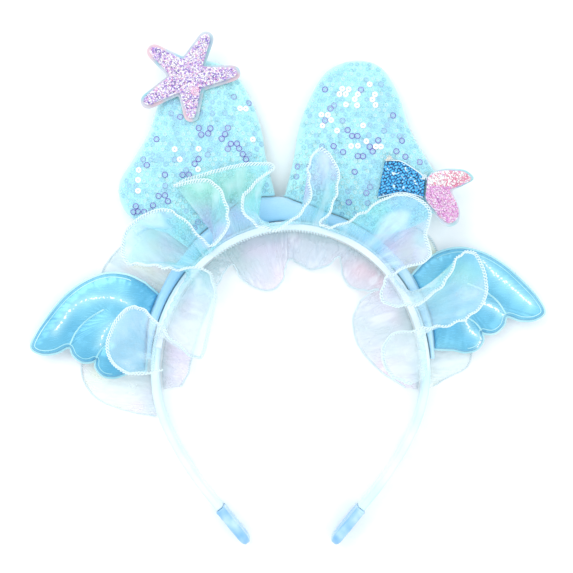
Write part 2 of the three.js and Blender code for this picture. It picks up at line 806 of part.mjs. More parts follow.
const headband = new THREE.Group();
headband.add(
  makeBand(),
  makeTip("tip_left", -1),
  makeTip("tip_right", 1),
  makeCrest(),
  makeEar("ear_left", -1),
  makeEar("ear_right", 1),
  ...makeStar(),
  ...makeTail(),
  makeWing("wing_left", -1, WING_AT_LEFT),
  makeWing("wing_right", 1, WING_AT_RIGHT),
  ...makeRuffles(),
);

export default headband;
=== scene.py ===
import bpy
import numpy as np
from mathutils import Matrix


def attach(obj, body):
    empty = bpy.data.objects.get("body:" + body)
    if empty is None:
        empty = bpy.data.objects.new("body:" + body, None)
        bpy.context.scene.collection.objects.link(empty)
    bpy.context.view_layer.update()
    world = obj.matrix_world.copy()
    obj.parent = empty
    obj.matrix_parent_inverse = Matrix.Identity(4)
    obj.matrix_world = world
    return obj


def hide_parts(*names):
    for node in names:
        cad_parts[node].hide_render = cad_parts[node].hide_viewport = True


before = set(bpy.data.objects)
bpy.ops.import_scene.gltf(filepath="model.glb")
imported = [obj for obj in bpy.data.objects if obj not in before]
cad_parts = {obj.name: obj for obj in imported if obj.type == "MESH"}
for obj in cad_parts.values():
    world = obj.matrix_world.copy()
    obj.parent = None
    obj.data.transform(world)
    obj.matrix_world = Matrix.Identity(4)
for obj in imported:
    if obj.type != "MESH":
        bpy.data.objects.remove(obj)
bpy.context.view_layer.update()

# The headband lies on its back on white paper and is seen from straight above, as it was
# photographed. Half a millimetre of it covers one pixel of the picture at that distance.
CAMERA_X, CAMERA_Y = -2.05, -30.5
CAMERA_ABOVE_BAND = 650
BAND_MIDDLE_Z = 6
HALF_VIEW = 143.25
SENSOR = 36

camera = bpy.data.objects.new("overhead_camera", bpy.data.cameras.new("overhead_camera"))
camera.data.sensor_width = SENSOR
camera.data.lens = SENSOR * CAMERA_ABOVE_BAND / (2 * HALF_VIEW)
camera.location = (CAMERA_X / 1000, CAMERA_Y / 1000, (CAMERA_ABOVE_BAND + BAND_MIDDLE_Z) / 1000)
bpy.context.scene.collection.objects.link(camera)
bpy.context.scene.camera = camera
bpy.context.scene.view_settings.view_transform = "Standard"


def paint(code):
    """A colour written #rrggbb as the eye sees it, as the linear red, green and blue of a shader."""
    seen = np.array([int(code[i:i + 2], 16) for i in (1, 3, 5)]) / 255
    linear = np.where(seen <= 0.04045, seen / 12.92, ((seen + 0.055) / 1.055) ** 2.4)
    return (*(float(value) for value in linear), 1.0)


def add(tree, kind, inputs=None, **settings):
    """One node with its settings; each named input takes a fixed value or another node's output."""
    node = tree.nodes.new(kind)
    for key, value in settings.items():
        setattr(node, key, value)
    for key, value in (inputs or {}).items():
        if isinstance(value, bpy.types.NodeSocket):
            tree.links.new(value, node.inputs[key])
        else:
            node.inputs[key].default_value = value
    return node


def new_finish(name):
    """An empty material, its node tree and its shader."""
    finish = bpy.data.materials.new(name)
    finish.use_nodes = True
    return finish, finish.node_tree, finish.node_tree.nodes["Principled BSDF"]


def ramp(tree, factor, *stops):
    """A colour ramp through stops of place and colour."""
    node = add(tree, "ShaderNodeValToRGB", {"Fac": factor})
    while len(node.color_ramp.elements) < len(stops):
        node.color_ramp.elements.new(1.0)
    for element, (place_on_ramp, code) in zip(node.color_ramp.elements, stops):
        element.position = place_on_ramp
        element.color = paint(code)
    return node.outputs["Color"]


def spread(tree, value, low, high, to_low=0.0, to_high=1.0):
    """A value carried smoothly from one range into another."""
    node = add(tree, "ShaderNodeMapRange", {0: value, 1: low, 2: high, 3: to_low, 4: to_high},
               interpolation_type="SMOOTHSTEP")
    return node.outputs[0]


def blend_colours(tree, factor, first, second):
    """Two colours mixed by a factor."""
    node = add(tree, "ShaderNodeMix", data_type="RGBA")
    for socket, value in ((0, factor), (6, first), (7, second)):
        if isinstance(value, bpy.types.NodeSocket):
            tree.links.new(value, node.inputs[socket])
        else:
            node.inputs[socket].default_value = paint(value) if isinstance(value, str) else value
    return node.outputs[2]


paper, tree, shader = new_finish("white_paper")
fibres = add(tree, "ShaderNodeTexNoise", {"Scale": 900.0, "Detail": 4.0})
tree.links.new(ramp(tree, fibres.outputs["Fac"], (0.3, "#fbfcfc"), (0.7, "#ffffff")),
               shader.inputs["Base Color"])
shader.inputs["Roughness"].default_value = 0.9
PAPER_HALF = 2.0
floor = bpy.data.meshes.new("white_paper")
floor.from_pydata([(-PAPER_HALF, -PAPER_HALF, 0), (PAPER_HALF, -PAPER_HALF, 0),
                   (PAPER_HALF, PAPER_HALF, 0), (-PAPER_HALF, PAPER_HALF, 0)], [], [(0, 1, 2, 3)])
floor.materials.append(paper)
floor = bpy.data.objects.new("white_paper", floor)
bpy.context.scene.collection.objects.link(floor)

world = bpy.data.worlds.new("studio")
world.use_nodes = True
world.node_tree.nodes["Background"].inputs["Color"].default_value = paint("#f6fbff")
world.node_tree.nodes["Background"].inputs["Strength"].default_value = 0.99
bpy.context.scene.world = world
for label, spot, size, power in (("window_left", (-0.45, 0.4, 0.75), 0.7, 3.0),
                                 ("window_right", (0.5, -0.25, 0.8), 0.8, 1.7)):
    softbox = bpy.data.lights.new(label, "AREA")
    softbox.size = size
    softbox.energy = power
    lamp = bpy.data.objects.new(label, softbox)
    lamp.location = spot
    aim = -np.array(spot)
    lamp.rotation_euler = (float(np.arccos(-aim[2] / np.linalg.norm(aim))), 0.0,
                           float(np.arctan2(aim[1], aim[0]) - np.pi / 2))
    bpy.context.scene.collection.objects.link(lamp)

# The band is a springy strip, four millimetres thick and twelve deep, wrapped in pale satin.
# The wrap is folded round it and glued down along the outer face, so one edge shows as a ridge.
BAND_HALF_WIDTH, BAND_RISE = 67.5, 73
SHOULDER_RADIUS, SHOULDER_TURN = 67.5, np.radians(25)
CALF_RADIUS, LEG_LEAN, LEG_LENGTH = 154, np.radians(39), 32
BAND_THICKNESS, BAND_DEPTH, BAND_CORNER = 4, 12, 1
TIP_LENGTH = 22
CLEARANCE = 0.3


def arm_line():
    """One arm's middle line: a quarter ellipse, two arcs that turn inwards and a straight leg."""
    turn = np.linspace(0, np.pi / 2, 120)[:-1]
    parts = [np.stack([BAND_HALF_WIDTH * np.sin(turn), BAND_RISE * (np.cos(turn) - 1)], axis=1)]
    end = np.array([BAND_HALF_WIDTH, -BAND_RISE], float)
    for radius, start, stop in ((SHOULDER_RADIUS, 0, SHOULDER_TURN), (CALF_RADIUS, SHOULDER_TURN, LEG_LEAN)):
        turn = np.linspace(start, stop, 60)
        arc = np.stack([np.cos(turn) - np.cos(start), np.sin(start) - np.sin(turn)], axis=1)
        parts.append((end + radius * arc)[:-1])
        end = end + radius * arc[-1]
    parts.append(np.stack([end, end - LEG_LENGTH * np.array([np.sin(LEG_LEAN), np.cos(LEG_LEAN)])]))
    return np.concatenate(parts)


def reach_along(line):
    """The length along a line up to each of its points."""
    return np.concatenate([[0], np.cumsum(np.linalg.norm(np.diff(line, axis=0), axis=1))])


ARM = arm_line()
ARM_REACH = reach_along(ARM)
HALF_LENGTH = ARM_REACH[-1]


def place(along, out, up):
    """Points given by length along the band from its crown, distance outwards and height: the
    middle line's point at that length, moved along its outward normal, mirrored on the left."""
    along, out, up = np.broadcast_arrays(np.asarray(along, float), out, up)
    length, side = np.abs(along), np.where(along < 0, -1.0, 1.0)

    def on_arm(reach):
        reach = np.clip(reach, 0, HALF_LENGTH)
        return [np.interp(reach, ARM_REACH, ARM[:, axis]) for axis in (0, 1)]

    span = 1.5
    (x, y), before, after = on_arm(length), on_arm(length - span), on_arm(length + span)
    run = np.hypot(after[0] - before[0], after[1] - before[1])
    crown = length < span
    normal_x = np.where(crown, 0, (before[1] - after[1]) / run)
    normal_y = np.where(crown, 1, (after[0] - before[0]) / run)
    return np.stack([side * (x + out * normal_x), y + out * normal_y, up], axis=-1)


def build_piece(name, points, faces, uv_name, uv, marks, finish):
    """A smooth mesh from points in millimetres, its faces, the UV place of each face's corners and
    its marks, given its finish and hung on the headband."""
    mesh = bpy.data.meshes.new(name)
    mesh.from_pydata((points / 1000).tolist(), [], faces)
    mesh.uv_layers.new(name=uv_name).uv.foreach_set("vector", uv.astype(np.float32).ravel())
    for key, values in marks.items():
        mesh.attributes.new(key, "FLOAT", "POINT").data.foreach_set("value", values.astype(np.float32))
    mesh.shade_smooth()
    mesh.materials.append(finish)
    piece = bpy.data.objects.new(name, mesh)
    bpy.context.scene.collection.objects.link(piece)
    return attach(piece, "root")


def lay_surface(name, points, finish, around=False, across=False, poles=False, marks=None):
    """A mesh of quads between neighbours of a grid of points, in millimetres. Rows may close on
    themselves (around), so may columns (across), and poles closes both end rows by fans. Its UV
    map runs from 0 to 1 both ways, and marks are named values, one for each grid point. A closed
    surface whose faces enclose a negative volume is turned right side out."""
    rows, columns = points.shape[:2]
    i, j = np.meshgrid(np.arange(rows if around else rows - 1),
                       np.arange(columns if across else columns - 1), indexing="ij")
    step_i, step_j = np.array([0, 1, 1, 0]), np.array([0, 0, 1, 1])
    corner_i, corner_j = i.reshape(-1, 1) + step_i, j.reshape(-1, 1) + step_j
    faces = (corner_i % rows) * columns + corner_j % columns
    uv = np.stack([corner_i / (rows - 1 + around), corner_j / (columns - 1 + across)], axis=-1)
    flat = points.reshape(-1, 3)
    face_list, uv_list = faces.tolist(), [uv.reshape(-1, 2)]
    if poles:
        ring = np.arange(columns)
        for row, flip in ((0, False), (rows - 1, True)):
            fan = np.stack([row * columns + ring, row * columns + (ring + 1) % columns,
                            np.full(columns, len(flat))], axis=1)
            flat = np.concatenate([flat, points[row].mean(axis=0, keepdims=True)])
            face_list += (fan[:, ::-1] if flip else fan).tolist()
            uv_list.append(np.column_stack([np.full(columns * 3, row / (rows - 1)),
                                            np.repeat(ring / columns, 3)]))
    if poles or (around and across):
        triangles = [face[:3] for face in face_list]
        triangles += [[face[0], face[2], face[3]] for face in face_list if len(face) > 3]
        a, b, c = flat[np.array(triangles)].transpose(1, 0, 2)
        if np.einsum("ij,ij->i", a, np.cross(b, c)).sum() < 0:
            face_list = [face[::-1] for face in face_list]
            uv_list = [part.reshape(-1, 3 if k else 4, 2)[:, ::-1].reshape(-1, 2)
                       for k, part in enumerate(uv_list)]
    marks = {key: np.concatenate([values.ravel(), np.full(len(flat) - values.size, values.mean())])
             for key, values in (marks or {}).items()}
    return build_piece(name, flat, face_list, "cloth", np.concatenate(uv_list), marks, finish)


def strip_section(thickness, depth, corner, count):
    """A rectangle with rounded corners, as offsets outwards and heights: each corner turns a
    quarter circle and the sides between are divided evenly."""
    angle = np.linspace(0, 2 * np.pi, count, endpoint=False) + np.pi / count
    cos, sin = np.cos(angle), np.sin(angle)
    reach = np.minimum((thickness / 2) / np.abs(cos), (depth / 2) / np.abs(sin))
    square = np.stack([reach * cos, reach * sin], axis=1)
    core = np.clip(square, [-thickness / 2 + corner, -depth / 2 + corner],
                   [thickness / 2 - corner, depth / 2 - corner])
    away = square - core
    size = np.maximum(np.linalg.norm(away, axis=1, keepdims=True), 1e-9)
    rounded = core + away / size * np.minimum(size, corner)
    return rounded[:, 0], rounded[:, 1] + depth / 2


def start_group(name, inputs, outputs):
    """An empty shader group with its named sockets, and its two end nodes."""
    tree = bpy.data.node_groups.new(name, "ShaderNodeTree")
    for label, kind, value in inputs:
        socket = tree.interface.new_socket(label, in_out="INPUT", socket_type=kind)
        if value is not None:
            socket.default_value = value
    for label, kind in outputs:
        tree.interface.new_socket(label, in_out="OUTPUT", socket_type=kind)
    return tree, tree.nodes.new("NodeGroupInput"), tree.nodes.new("NodeGroupOutput")


def use_group(tree, group, **inputs):
    """A group placed in a material with its own values."""
    node = tree.nodes.new("ShaderNodeGroup")
    node.node_tree = group
    for key, value in inputs.items():
        if isinstance(value, bpy.types.NodeSocket):
            tree.links.new(value, node.inputs[key])
        else:
            node.inputs[key].default_value = value
    return node.outputs


def make_satin_threads():
    """Satin: long floats of thread run one way. Height is a fine noise drawn out along the thread,
    Cloud a broad one for how the shine drifts over the cloth."""
    group, start, end = start_group(
        "satin_threads",
        [("Coordinates", "NodeSocketVector", None), ("Threads", "NodeSocketFloat", 1.0),
         ("Clouds", "NodeSocketFloat", 60.0)],
        [("Height", "NodeSocketFloat"), ("Cloud", "NodeSocketFloat")])
    drawn = add(group, "ShaderNodeVectorMath", {0: start.outputs["Coordinates"], 1: (0.12, 1.0, 0.6)},
                operation="MULTIPLY")
    fine = add(group, "ShaderNodeTexNoise", {"Vector": drawn.outputs[0], "Scale": start.outputs["Threads"],
                                             "Detail": 3.0, "Roughness": 0.6})
    broad = add(group, "ShaderNodeTexNoise", {"Vector": start.outputs["Coordinates"],
                                              "Scale": start.outputs["Clouds"], "Detail": 1.0})
    group.links.new(fine.outputs["Fac"], end.inputs["Height"])
    group.links.new(broad.outputs["Fac"], end.inputs["Cloud"])
    return group


SATIN_THREADS = make_satin_threads()


def from_object(tree):
    """Where each point lies, from the object's origin."""
    return add(tree, "ShaderNodeTexCoord").outputs["Object"]


def feed(tree, shader, colour, roughness, bump=None, fixed=None):
    """Gives a shader its colour and roughness, a bump of some height, strength and distance, and
    the values that are the same all over."""
    tree.links.new(colour, shader.inputs["Base Color"])
    tree.links.new(roughness, shader.inputs["Roughness"])
    if bump:
        height, strength, distance = bump
        node = add(tree, "ShaderNodeBump", {"Height": height, "Strength": strength, "Distance": distance})
        tree.links.new(node.outputs["Normal"], shader.inputs["Normal"])
    for key, value in (fixed or {}).items():
        shader.inputs[key].default_value = value


def satin(name, shade, middle, light, threads, gloss, clouds=50.0):
    """Satin cloth: three tones of painted sheen and shade that drift with its cloud, a bump of fine threads,
    and a soft sheen.
    """
    finish, tree, shader = new_finish(name)
    cloth = use_group(tree, SATIN_THREADS, Coordinates=from_object(tree), Threads=threads, Clouds=clouds)
    feed(tree, shader, ramp(tree, cloth["Cloud"], (0.3, shade), (0.5, middle), (0.7, light)),
         spread(tree, cloth["Height"], 0.3, 0.7, gloss, gloss + 0.12), (cloth["Height"], 0.2, 0.0001),
         {"Sheen Weight": 0.3, "Sheen Roughness": 0.4})
    return finish


def lift_folds(along, seed, count, longest, shortest):
    """Soft wrinkles along a length: a few sine waves of seeded lengths and starts, evened to one."""
    rng = np.random.default_rng(seed)
    lengths = rng.uniform(shortest, longest, count)
    starts = rng.uniform(0, 2 * np.pi, count)
    return sum(np.sin(2 * np.pi * along / size + start) for size, start in zip(lengths, starts)) / count


RIDGE_LEVEL, RIDGE_RISE, PUCKER = 8.4, 0.16, 0.07


def wrap_band():
    """The strip's section carried along the middle line. The satin puckers by a hair every few
    millimetres and has a ridge on the outer face where its glued edge lies."""
    end = HALF_LENGTH - TIP_LENGTH - CLEARANCE
    out, up = strip_section(BAND_THICKNESS, BAND_DEPTH, BAND_CORNER, 36)
    along = np.linspace(-end, end, 420)[:, None]
    pucker = PUCKER * lift_folds(along + 0.35 * up, 3, 5, 14, 4)
    ridge = RIDGE_RISE * np.exp(-((up - RIDGE_LEVEL) / 0.5) ** 2) * (out > 0)
    reach = 1 + (pucker + ridge) / np.hypot(out, up - BAND_DEPTH / 2)
    points = place(along, out * reach, np.maximum((up - BAND_DEPTH / 2) * reach + BAND_DEPTH / 2, 0))
    finish = satin("pale_satin", "#d3f0f9", "#e0f7fc", "#eefcfe", 9000, 0.3)
    piece = lay_surface("band_wrap", points, finish, across=True, poles=True)
    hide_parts("band")
    return piece


wrap_band()

# Blue satin sleeves are drawn over the band's two ends and closed at the bottom. Each is a little
# looser than the band, so it has a rolled mouth and shallow lengthwise folds.
TIP_THICKNESS, TIP_DEPTH = 4.8, 12.6
# shares of the sleeve that are straight and that round off at its end, and its size at the very end
TIP_STRAIGHT, TIP_ROUND, TIP_BLUNT = 0.78, 0.22, 0.3
BLUE_SATIN = satin("blue_satin", "#84bce8", "#9ccbf0", "#bcdff6", 9000, 0.25, clouds=160.0)


def draw_sleeve(label, side):
    """The sleeve's section along the leg: it swells into a rolled mouth, its folds fade towards
    the mouth, and its last stretch narrows on a quarter circle to a rounded end."""
    out, up = strip_section(TIP_THICKNESS, TIP_DEPTH, BAND_CORNER, 40)
    last = 1 - TIP_ROUND * (1 - np.linspace(0, 1, 24)[1:]) ** 2
    share = np.concatenate([np.linspace(0, TIP_STRAIGHT, 60), last])[:, None]
    into = np.clip((share - TIP_STRAIGHT) / TIP_ROUND, 0, 1)
    size = TIP_BLUNT + (1 - TIP_BLUNT) * np.sqrt(1 - np.minimum(into, 1) ** 2)
    mouth = 0.05 * np.exp(-((share - 0.03) / 0.025) ** 2)
    folds = 0.02 * np.sin(up * 1.7 + 6 * share) + 0.02 * np.sin(up * 2.9 - 9 * share + out)
    size = size * (1 + mouth + folds * np.clip(share * 5, 0, 1))
    along = side * (HALF_LENGTH - TIP_LENGTH * (1 - share))
    points = place(along, out * size, np.maximum((up - TIP_DEPTH / 2) * size + TIP_DEPTH / 2, 0.02))
    piece = lay_surface("sleeve_" + label, points, BLUE_SATIN, across=True, poles=True)
    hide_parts("tip_" + label)
    return piece


draw_sleeve("left", -1)
draw_sleeve("right", 1)

# A padded roll of blue satin is sewn along the outside of the band, highest over the crown. The
# ears and the wings stand on it, and it shows between the ruffle's folds.
CREST_REACH, CREST_HEIGHT = 104, 14
CREST_DEPTH, CREST_BACK = 10.2, 1.6
CREST_FOOT = BAND_THICKNESS / 2 + CLEARANCE
# place along the roll and height there, as shares of its reach and of its full height
CREST_PROFILE = np.array([
    (-1, 0.16), (-0.78, 0.34), (-0.55, 0.45), (-0.34, 0.62), (-0.17, 0.98), (-0.05, 0.88),
    (0.06, 0.62), (0.16, 0.46), (0.35, 0.42), (0.55, 0.4), (0.78, 0.3), (1, 0.16)])


def crest_height(along):
    """The roll's height at a length along the band: the profile's heights joined by smooth steps."""
    share = np.clip(np.asarray(along, float) / CREST_REACH, -1, 1)
    after = np.clip(np.searchsorted(CREST_PROFILE[:, 0], share), 1, len(CREST_PROFILE) - 1)
    before, later = CREST_PROFILE[after - 1], CREST_PROFILE[after]
    t = np.clip((share - before[..., 0]) / (later[..., 0] - before[..., 0]), 0, 1)
    return CREST_HEIGHT * (before[..., 1] + (later[..., 1] - before[..., 1]) * t * t * (3 - 2 * t))


def roll_crest():
    """A rounded section, squarer than an ellipse, carried along the band. Folds run across the
    roll, deepest on its front and back, and pull in by half a millimetre."""
    along = np.linspace(-CREST_REACH, CREST_REACH, 360)[:, None]
    height = crest_height(along)
    angle = np.linspace(0, 2 * np.pi, 40, endpoint=False)
    across, up = (np.sign(wave) * np.abs(wave) ** 0.7 for wave in (np.cos(angle), np.sin(angle)))
    fold = lift_folds(along + 1.5 * np.cos(angle), 11, 6, 19, 5)
    tuck = 1 - 0.08 * np.clip(fold, 0, 1) * np.abs(np.sin(angle))
    out = CREST_FOOT + height / 2 * (1 + across)
    points = place(along, out, CREST_BACK + CREST_DEPTH / 2 * (1 + up * tuck))
    finish = satin("crest_satin", "#9fd3f3", "#b4dff8", "#ccecfb", 5200, 0.24)
    piece = lay_surface("satin_roll", points, finish, across=True, poles=True)
    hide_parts("crest")
    return piece


roll_crest()

# Each ear is a flat cushion of aqua cloth, sewn round its outline and turned right side out. Its
# cloth is covered in rows of clear ring sequins, held by one thread through the hole of each.
EARS_OFFSET, EAR_WIDTH, EAR_HEIGHT, EAR_THICKNESS = -5.3, 80, 82, 12
EAR_FOOT_IN, EAR_FOOT_OUT = 2, 44
EAR_MIDDLE_Z = 7.6
EAR_ROUNDING, EAR_RIM = 15, 0.16
# outline from the inner foot over the top to the outer foot, as shares of width and height
EAR_OUTLINE = np.array([
    (0.03, 0.185), (0.085, 0.4), (0.115, 0.575), (0.185, 0.77), (0.3, 0.94), (0.47, 1),
    (0.62, 0.965), (0.725, 0.82), (0.81, 0.58), (0.92, 0.39), (0.995, 0.27), (1, 0.17),
    (0.955, 0.075), (0.86, 0.005), (0.7, -0.05)])


def curve_through(knots, share, closed=False):
    """A smooth curve through knots, at shares of its knot count: each stretch is a cubic whose end
    slopes weigh the neighbouring knots by the square roots of their distances."""
    count = len(knots)
    if closed:
        line = np.concatenate([knots[-1:], knots, knots[:2]])
    else:
        line = np.concatenate([[2 * knots[0] - knots[1]], knots, [2 * knots[-1] - knots[-2]]])
    stretches = count if closed else count - 1
    at = np.clip(share, 0, 1) * stretches
    first = np.minimum(at.astype(int), stretches - 1)
    t = (at - first)[..., None]
    a, b, c, d = (line[first + k] for k in range(4))
    gaps = [np.sqrt(np.linalg.norm(q - p, axis=-1, keepdims=True)) for p, q in ((a, b), (b, c), (c, d))]
    slope_b = gaps[1] * ((b - a) / gaps[0] - (c - a) / (gaps[0] + gaps[1]) + (c - b) / gaps[1])
    slope_c = gaps[1] * ((c - b) / gaps[1] - (d - b) / (gaps[1] + gaps[2]) + (d - c) / gaps[2])
    bend = 3 * (c - b) - 2 * slope_b - slope_c
    return b + slope_b * t + bend * t ** 2 + (2 * (b - c) + slope_b + slope_c) * t ** 3


def even_loop(points, count):
    """A closed line cut again into equal steps."""
    loop = np.concatenate([points, points[:1]])
    reach = reach_along(loop)
    steps = np.linspace(0, reach[-1], count, endpoint=False)
    return np.stack([np.interp(steps, reach, loop[:, axis]) for axis in range(loop.shape[1])], axis=1)


def ear_outline(side, count=260):
    """The ear's edge, closed along the top of the satin roll."""
    edge = curve_through(EAR_OUTLINE, np.linspace(0, 1, 300))
    edge = np.stack([EARS_OFFSET + side * edge[:, 0] * EAR_WIDTH, edge[:, 1] * EAR_HEIGHT], axis=1)
    along = side * np.linspace(EAR_FOOT_OUT, EAR_FOOT_IN, 60) + EARS_OFFSET
    foot = place(along, CREST_FOOT + crest_height(along) + CLEARANCE, 0)[:, :2]
    return even_loop(np.concatenate([edge, foot]), count)


def inside_outline(points, outline):
    """Which points lie inside a closed outline: those that an odd number of its sides pass to the
    right of."""
    ring = np.roll(outline, -1, axis=0)
    crosses = (outline[None, :, 1] > points[:, None, 1]) != (ring[None, :, 1] > points[:, None, 1])
    rise = np.where(ring[:, 1] == outline[:, 1], 1e-9, ring[:, 1] - outline[:, 1])
    meets = (ring[:, 0] - outline[:, 0]) * (points[:, None, 1] - outline[None, :, 1]) / rise + outline[:, 0]
    return (crosses & (points[:, None, 0] < meets)).sum(1) % 2 == 1


def nearest_line(points, starts, ends):
    """The distance from each point to the nearest of some straight lines."""
    run = ends - starts
    away = points[..., None, :] - starts
    t = np.clip((away * run).sum(-1) / np.maximum((run * run).sum(-1), 1e-12), 0, 1)
    return np.linalg.norm(away - t[..., None] * run, axis=-1).min(-1)


def from_outline(points, outline):
    """The distance from each point to a closed outline."""
    return nearest_line(points, outline, np.roll(outline, -1, axis=0))


def stuffed_half(points, outline, rounding, rim, seams=None, seam_depth=0.8):
    """How full a sewn cushion is at points in its plane, from 0 to 1: a quarter circle that rises
    from its rim at the outline, or from its sewn seams, over the rounding."""
    reach = from_outline(points, outline)
    if seams is not None:
        reach = np.minimum(reach, nearest_line(points, seams[:, 0], seams[:, 1]) + seam_depth)
    share = np.clip(reach / rounding, 0, 1)
    return rim + (1 - rim) * np.sqrt(1 - (1 - share) ** 2)


def stuff_cushion(name, outline, middle, middle_z, half, fullness, finish, rings=32, extra=None):
    """A cushion: its outline shrinks in rings to a middle point, over the front and under the back,
    and each point stands off the middle plane by half the thickness times the fullness there. It
    marks its creases, and extra is the name and the function of one more mark."""
    share = np.sqrt(np.linspace(0.0004, 1, rings))
    inner = middle + (outline[None] - middle) * share[:, None, None]
    full = fullness(inner)
    crease = np.clip(1.15 - full * 1.6, 0, 1)
    front = np.concatenate([inner, (middle_z + half * full)[..., None]], axis=-1)
    back = np.concatenate([inner, (middle_z - half * full)[..., None]], axis=-1)
    points = np.concatenate([front, back[::-1]])
    marks = {"crease": np.concatenate([crease, crease[::-1]])}
    if extra:
        value = extra[1](inner)
        marks[extra[0]] = np.concatenate([value, value[::-1]])
    return lay_surface(name, points, finish, across=True, poles=True, marks=marks)


def read_mark(tree, name):
    """A value that the mesh holds for each of its points."""
    return add(tree, "ShaderNodeAttribute", attribute_name=name).outputs["Fac"]


def noise(tree, where, scale, detail=2.0):
    """A soft noise with so many lumps to the metre."""
    return add(tree, "ShaderNodeTexNoise", {"Vector": where, "Scale": scale, "Detail": detail}).outputs["Fac"]


def make_ear_cloth():
    """Aqua net cloth under the sequins: a fine crossed weave, paler towards the sewn edge."""
    finish, tree, shader = new_finish("ear_cloth")
    where = from_object(tree)
    colour = ramp(tree, noise(tree, where, 38.0), (0.3, "#a8def2"), (0.5, "#b0eaf5"), (0.7, "#bdf6f8"))
    colour = blend_colours(tree, read_mark(tree, "crease"), colour, "#cdf6f8")
    net = add(tree, "ShaderNodeTexVoronoi", {"Vector": where, "Scale": 1500.0}, feature="DISTANCE_TO_EDGE")
    hole = spread(tree, net.outputs["Distance"], 0.02, 0.16)
    feed(tree, shader, colour, spread(tree, hole, 0, 1, 0.4, 0.62), (hole, 0.15, 0.0002),
         {"Sheen Weight": 0.25})
    return finish


def lay_copies(name, shape, shape_faces, shape_uv, origins, axes, finish, marks=None):
    """One small shape repeated: each copy is the shape in its own three axes at its own origin.
    The shape's UV map is repeated with it, and marks give each copy its own values."""
    copies, corners = len(origins), len(shape)
    points = origins[:, None, :] + np.einsum("kc,ncd->nkd", shape, axes)
    shape_faces = np.asarray(shape_faces)
    faces = (shape_faces + corners * np.arange(copies)[:, None, None]).reshape(-1, shape_faces.shape[1])
    uv = np.tile(np.asarray(shape_uv, np.float32)[shape_faces].reshape(-1, 2), (copies, 1))
    marks = {key: np.repeat(values, corners) for key, values in (marks or {}).items()}
    return build_piece(name, points.reshape(-1, 3), faces.tolist(), "shape", uv, marks, finish)


def unit(vectors):
    """The same directions with a length of one."""
    return vectors / np.linalg.norm(vectors, axis=-1, keepdims=True)


def turned_axes(normals, spin):
    """Three right-angled axes for each copy: two in its own plane, turned by spin, and its normal."""
    normals = unit(normals)
    helper = np.where(np.abs(normals[:, :1]) < 0.9, [[1.0, 0.0, 0.0]], [[0.0, 1.0, 0.0]])
    side = unit(np.cross(helper, normals))
    other = np.cross(normals, side)
    cos, sin = np.cos(spin)[:, None], np.sin(spin)[:, None]
    return np.stack([side * cos + other * sin, other * cos - side * sin, normals], axis=1)


SEQUIN_RADIUS, SEQUIN_HOLE, SEQUIN_SIDES = 1.55, 0.36, 8
SEQUIN_STEP, ROW_SHARE = 2.95, 0.866
# each ring of a sequin's section: its radius, its height and its place from hole to rim
SEQUIN_SECTION = ((SEQUIN_RADIUS, 0.3, 1.0), (0.62 * SEQUIN_RADIUS, 0.12, 0.6), (SEQUIN_HOLE, 0.1, 0.0),
                  (SEQUIN_HOLE, 0.0, 0.0), (SEQUIN_RADIUS, 0.2, 1.0))


def ring_faces(rings, sides, closed=False):
    """Quads between each ring of points and the next, and back to the first if closed."""
    k, j = np.meshgrid(np.arange(rings if closed else rings - 1), np.arange(sides), indexing="ij")
    after, beside = (k + 1) % rings, (j + 1) % sides
    faces = np.stack([k * sides + j, k * sides + beside, after * sides + beside, after * sides + j], axis=-1)
    return faces.reshape(-1, 4)


def sequin_shape():
    """A cupped ring: rings of points from the rim over the top to the hole, and back below."""
    turn = np.linspace(0, 2 * np.pi, SEQUIN_SIDES, endpoint=False)
    flat = np.ones(SEQUIN_SIDES)
    shape = np.concatenate([np.column_stack([radius * np.cos(turn), radius * np.sin(turn), height * flat])
                            for radius, height, _ in SEQUIN_SECTION])
    uv = np.concatenate([np.column_stack([turn / (2 * np.pi), share * flat]) for *_, share in SEQUIN_SECTION])
    return shape, ring_faces(len(SEQUIN_SECTION), SEQUIN_SIDES, closed=True)[:, ::-1], uv


def combine(tree, first, second, operation):
    """Two values joined by one step of arithmetic."""
    return add(tree, "ShaderNodeMath", {0: first, 1: second}, operation=operation).outputs[0]


def make_sequin_finish():
    """Clear plastic with a thin rainbow film. Most sequins take the aqua of the cloth with a paler
    painted highlight round the hole, a few are painted white as glints of light, and a few show a violet rim."""
    finish, tree, shader = new_finish("clear_sequin")
    gleam = read_mark(tree, "gleam")
    shape_uv = add(tree, "ShaderNodeUVMap", uv_map="shape").outputs["UV"]
    radial = add(tree, "ShaderNodeSeparateXYZ", {"Vector": shape_uv}).outputs["Y"]
    plain = ramp(tree, gleam, (0.1, "#bcdff8"), (0.3, "#b4ecf9"), (0.55, "#bdf6fa"), (0.85, "#c8fcfb"))
    edge = ramp(tree, gleam, (0.04, "#7468c8"), (0.1, "#a9a4e6"), (0.18, "#aed8f0"), (0.5, "#b0ebf2"),
                (0.85, "#c2f6f6"))
    # a painted highlight round the hole, stronger on sequins with a higher gleam
    glow = combine(tree, spread(tree, radial, 0.75, 0.3), spread(tree, gleam, 0.3, 0.85), "MULTIPLY")
    tinted = blend_colours(tree, glow, plain, "#e2fbfc")
    tinted = blend_colours(tree, spread(tree, radial, 0.6, 0.85), tinted, edge)
    # painted white glint on the marked sequins, with a beige hole
    shine = spread(tree, gleam, 0.9, 0.93)
    bright = blend_colours(tree, spread(tree, radial, 0.02, 0.2), "#d6d0c2", "#ffffff")
    plain_film = spread(tree, radial, 0.35, 0.95, 0.5, 0.1)
    marked_film = spread(tree, radial, 0.2, 0.8, 0.4, 0.9)
    clear = spread(tree, gleam, 0.18, 0.06, plain_film, marked_film)
    tree.links.new(combine(tree, clear, shine, "MAXIMUM"), shader.inputs["Alpha"])
    feed(tree, shader, blend_colours(tree, shine, tinted, bright), spread(tree, gleam, 0.0, 0.95, 0.2, 0.36),
         fixed={"Coat Weight": 0.2, "Coat Roughness": 0.2})
    return finish


EAR_CLOTH = make_ear_cloth()
CLEAR_SEQUIN = make_sequin_finish()
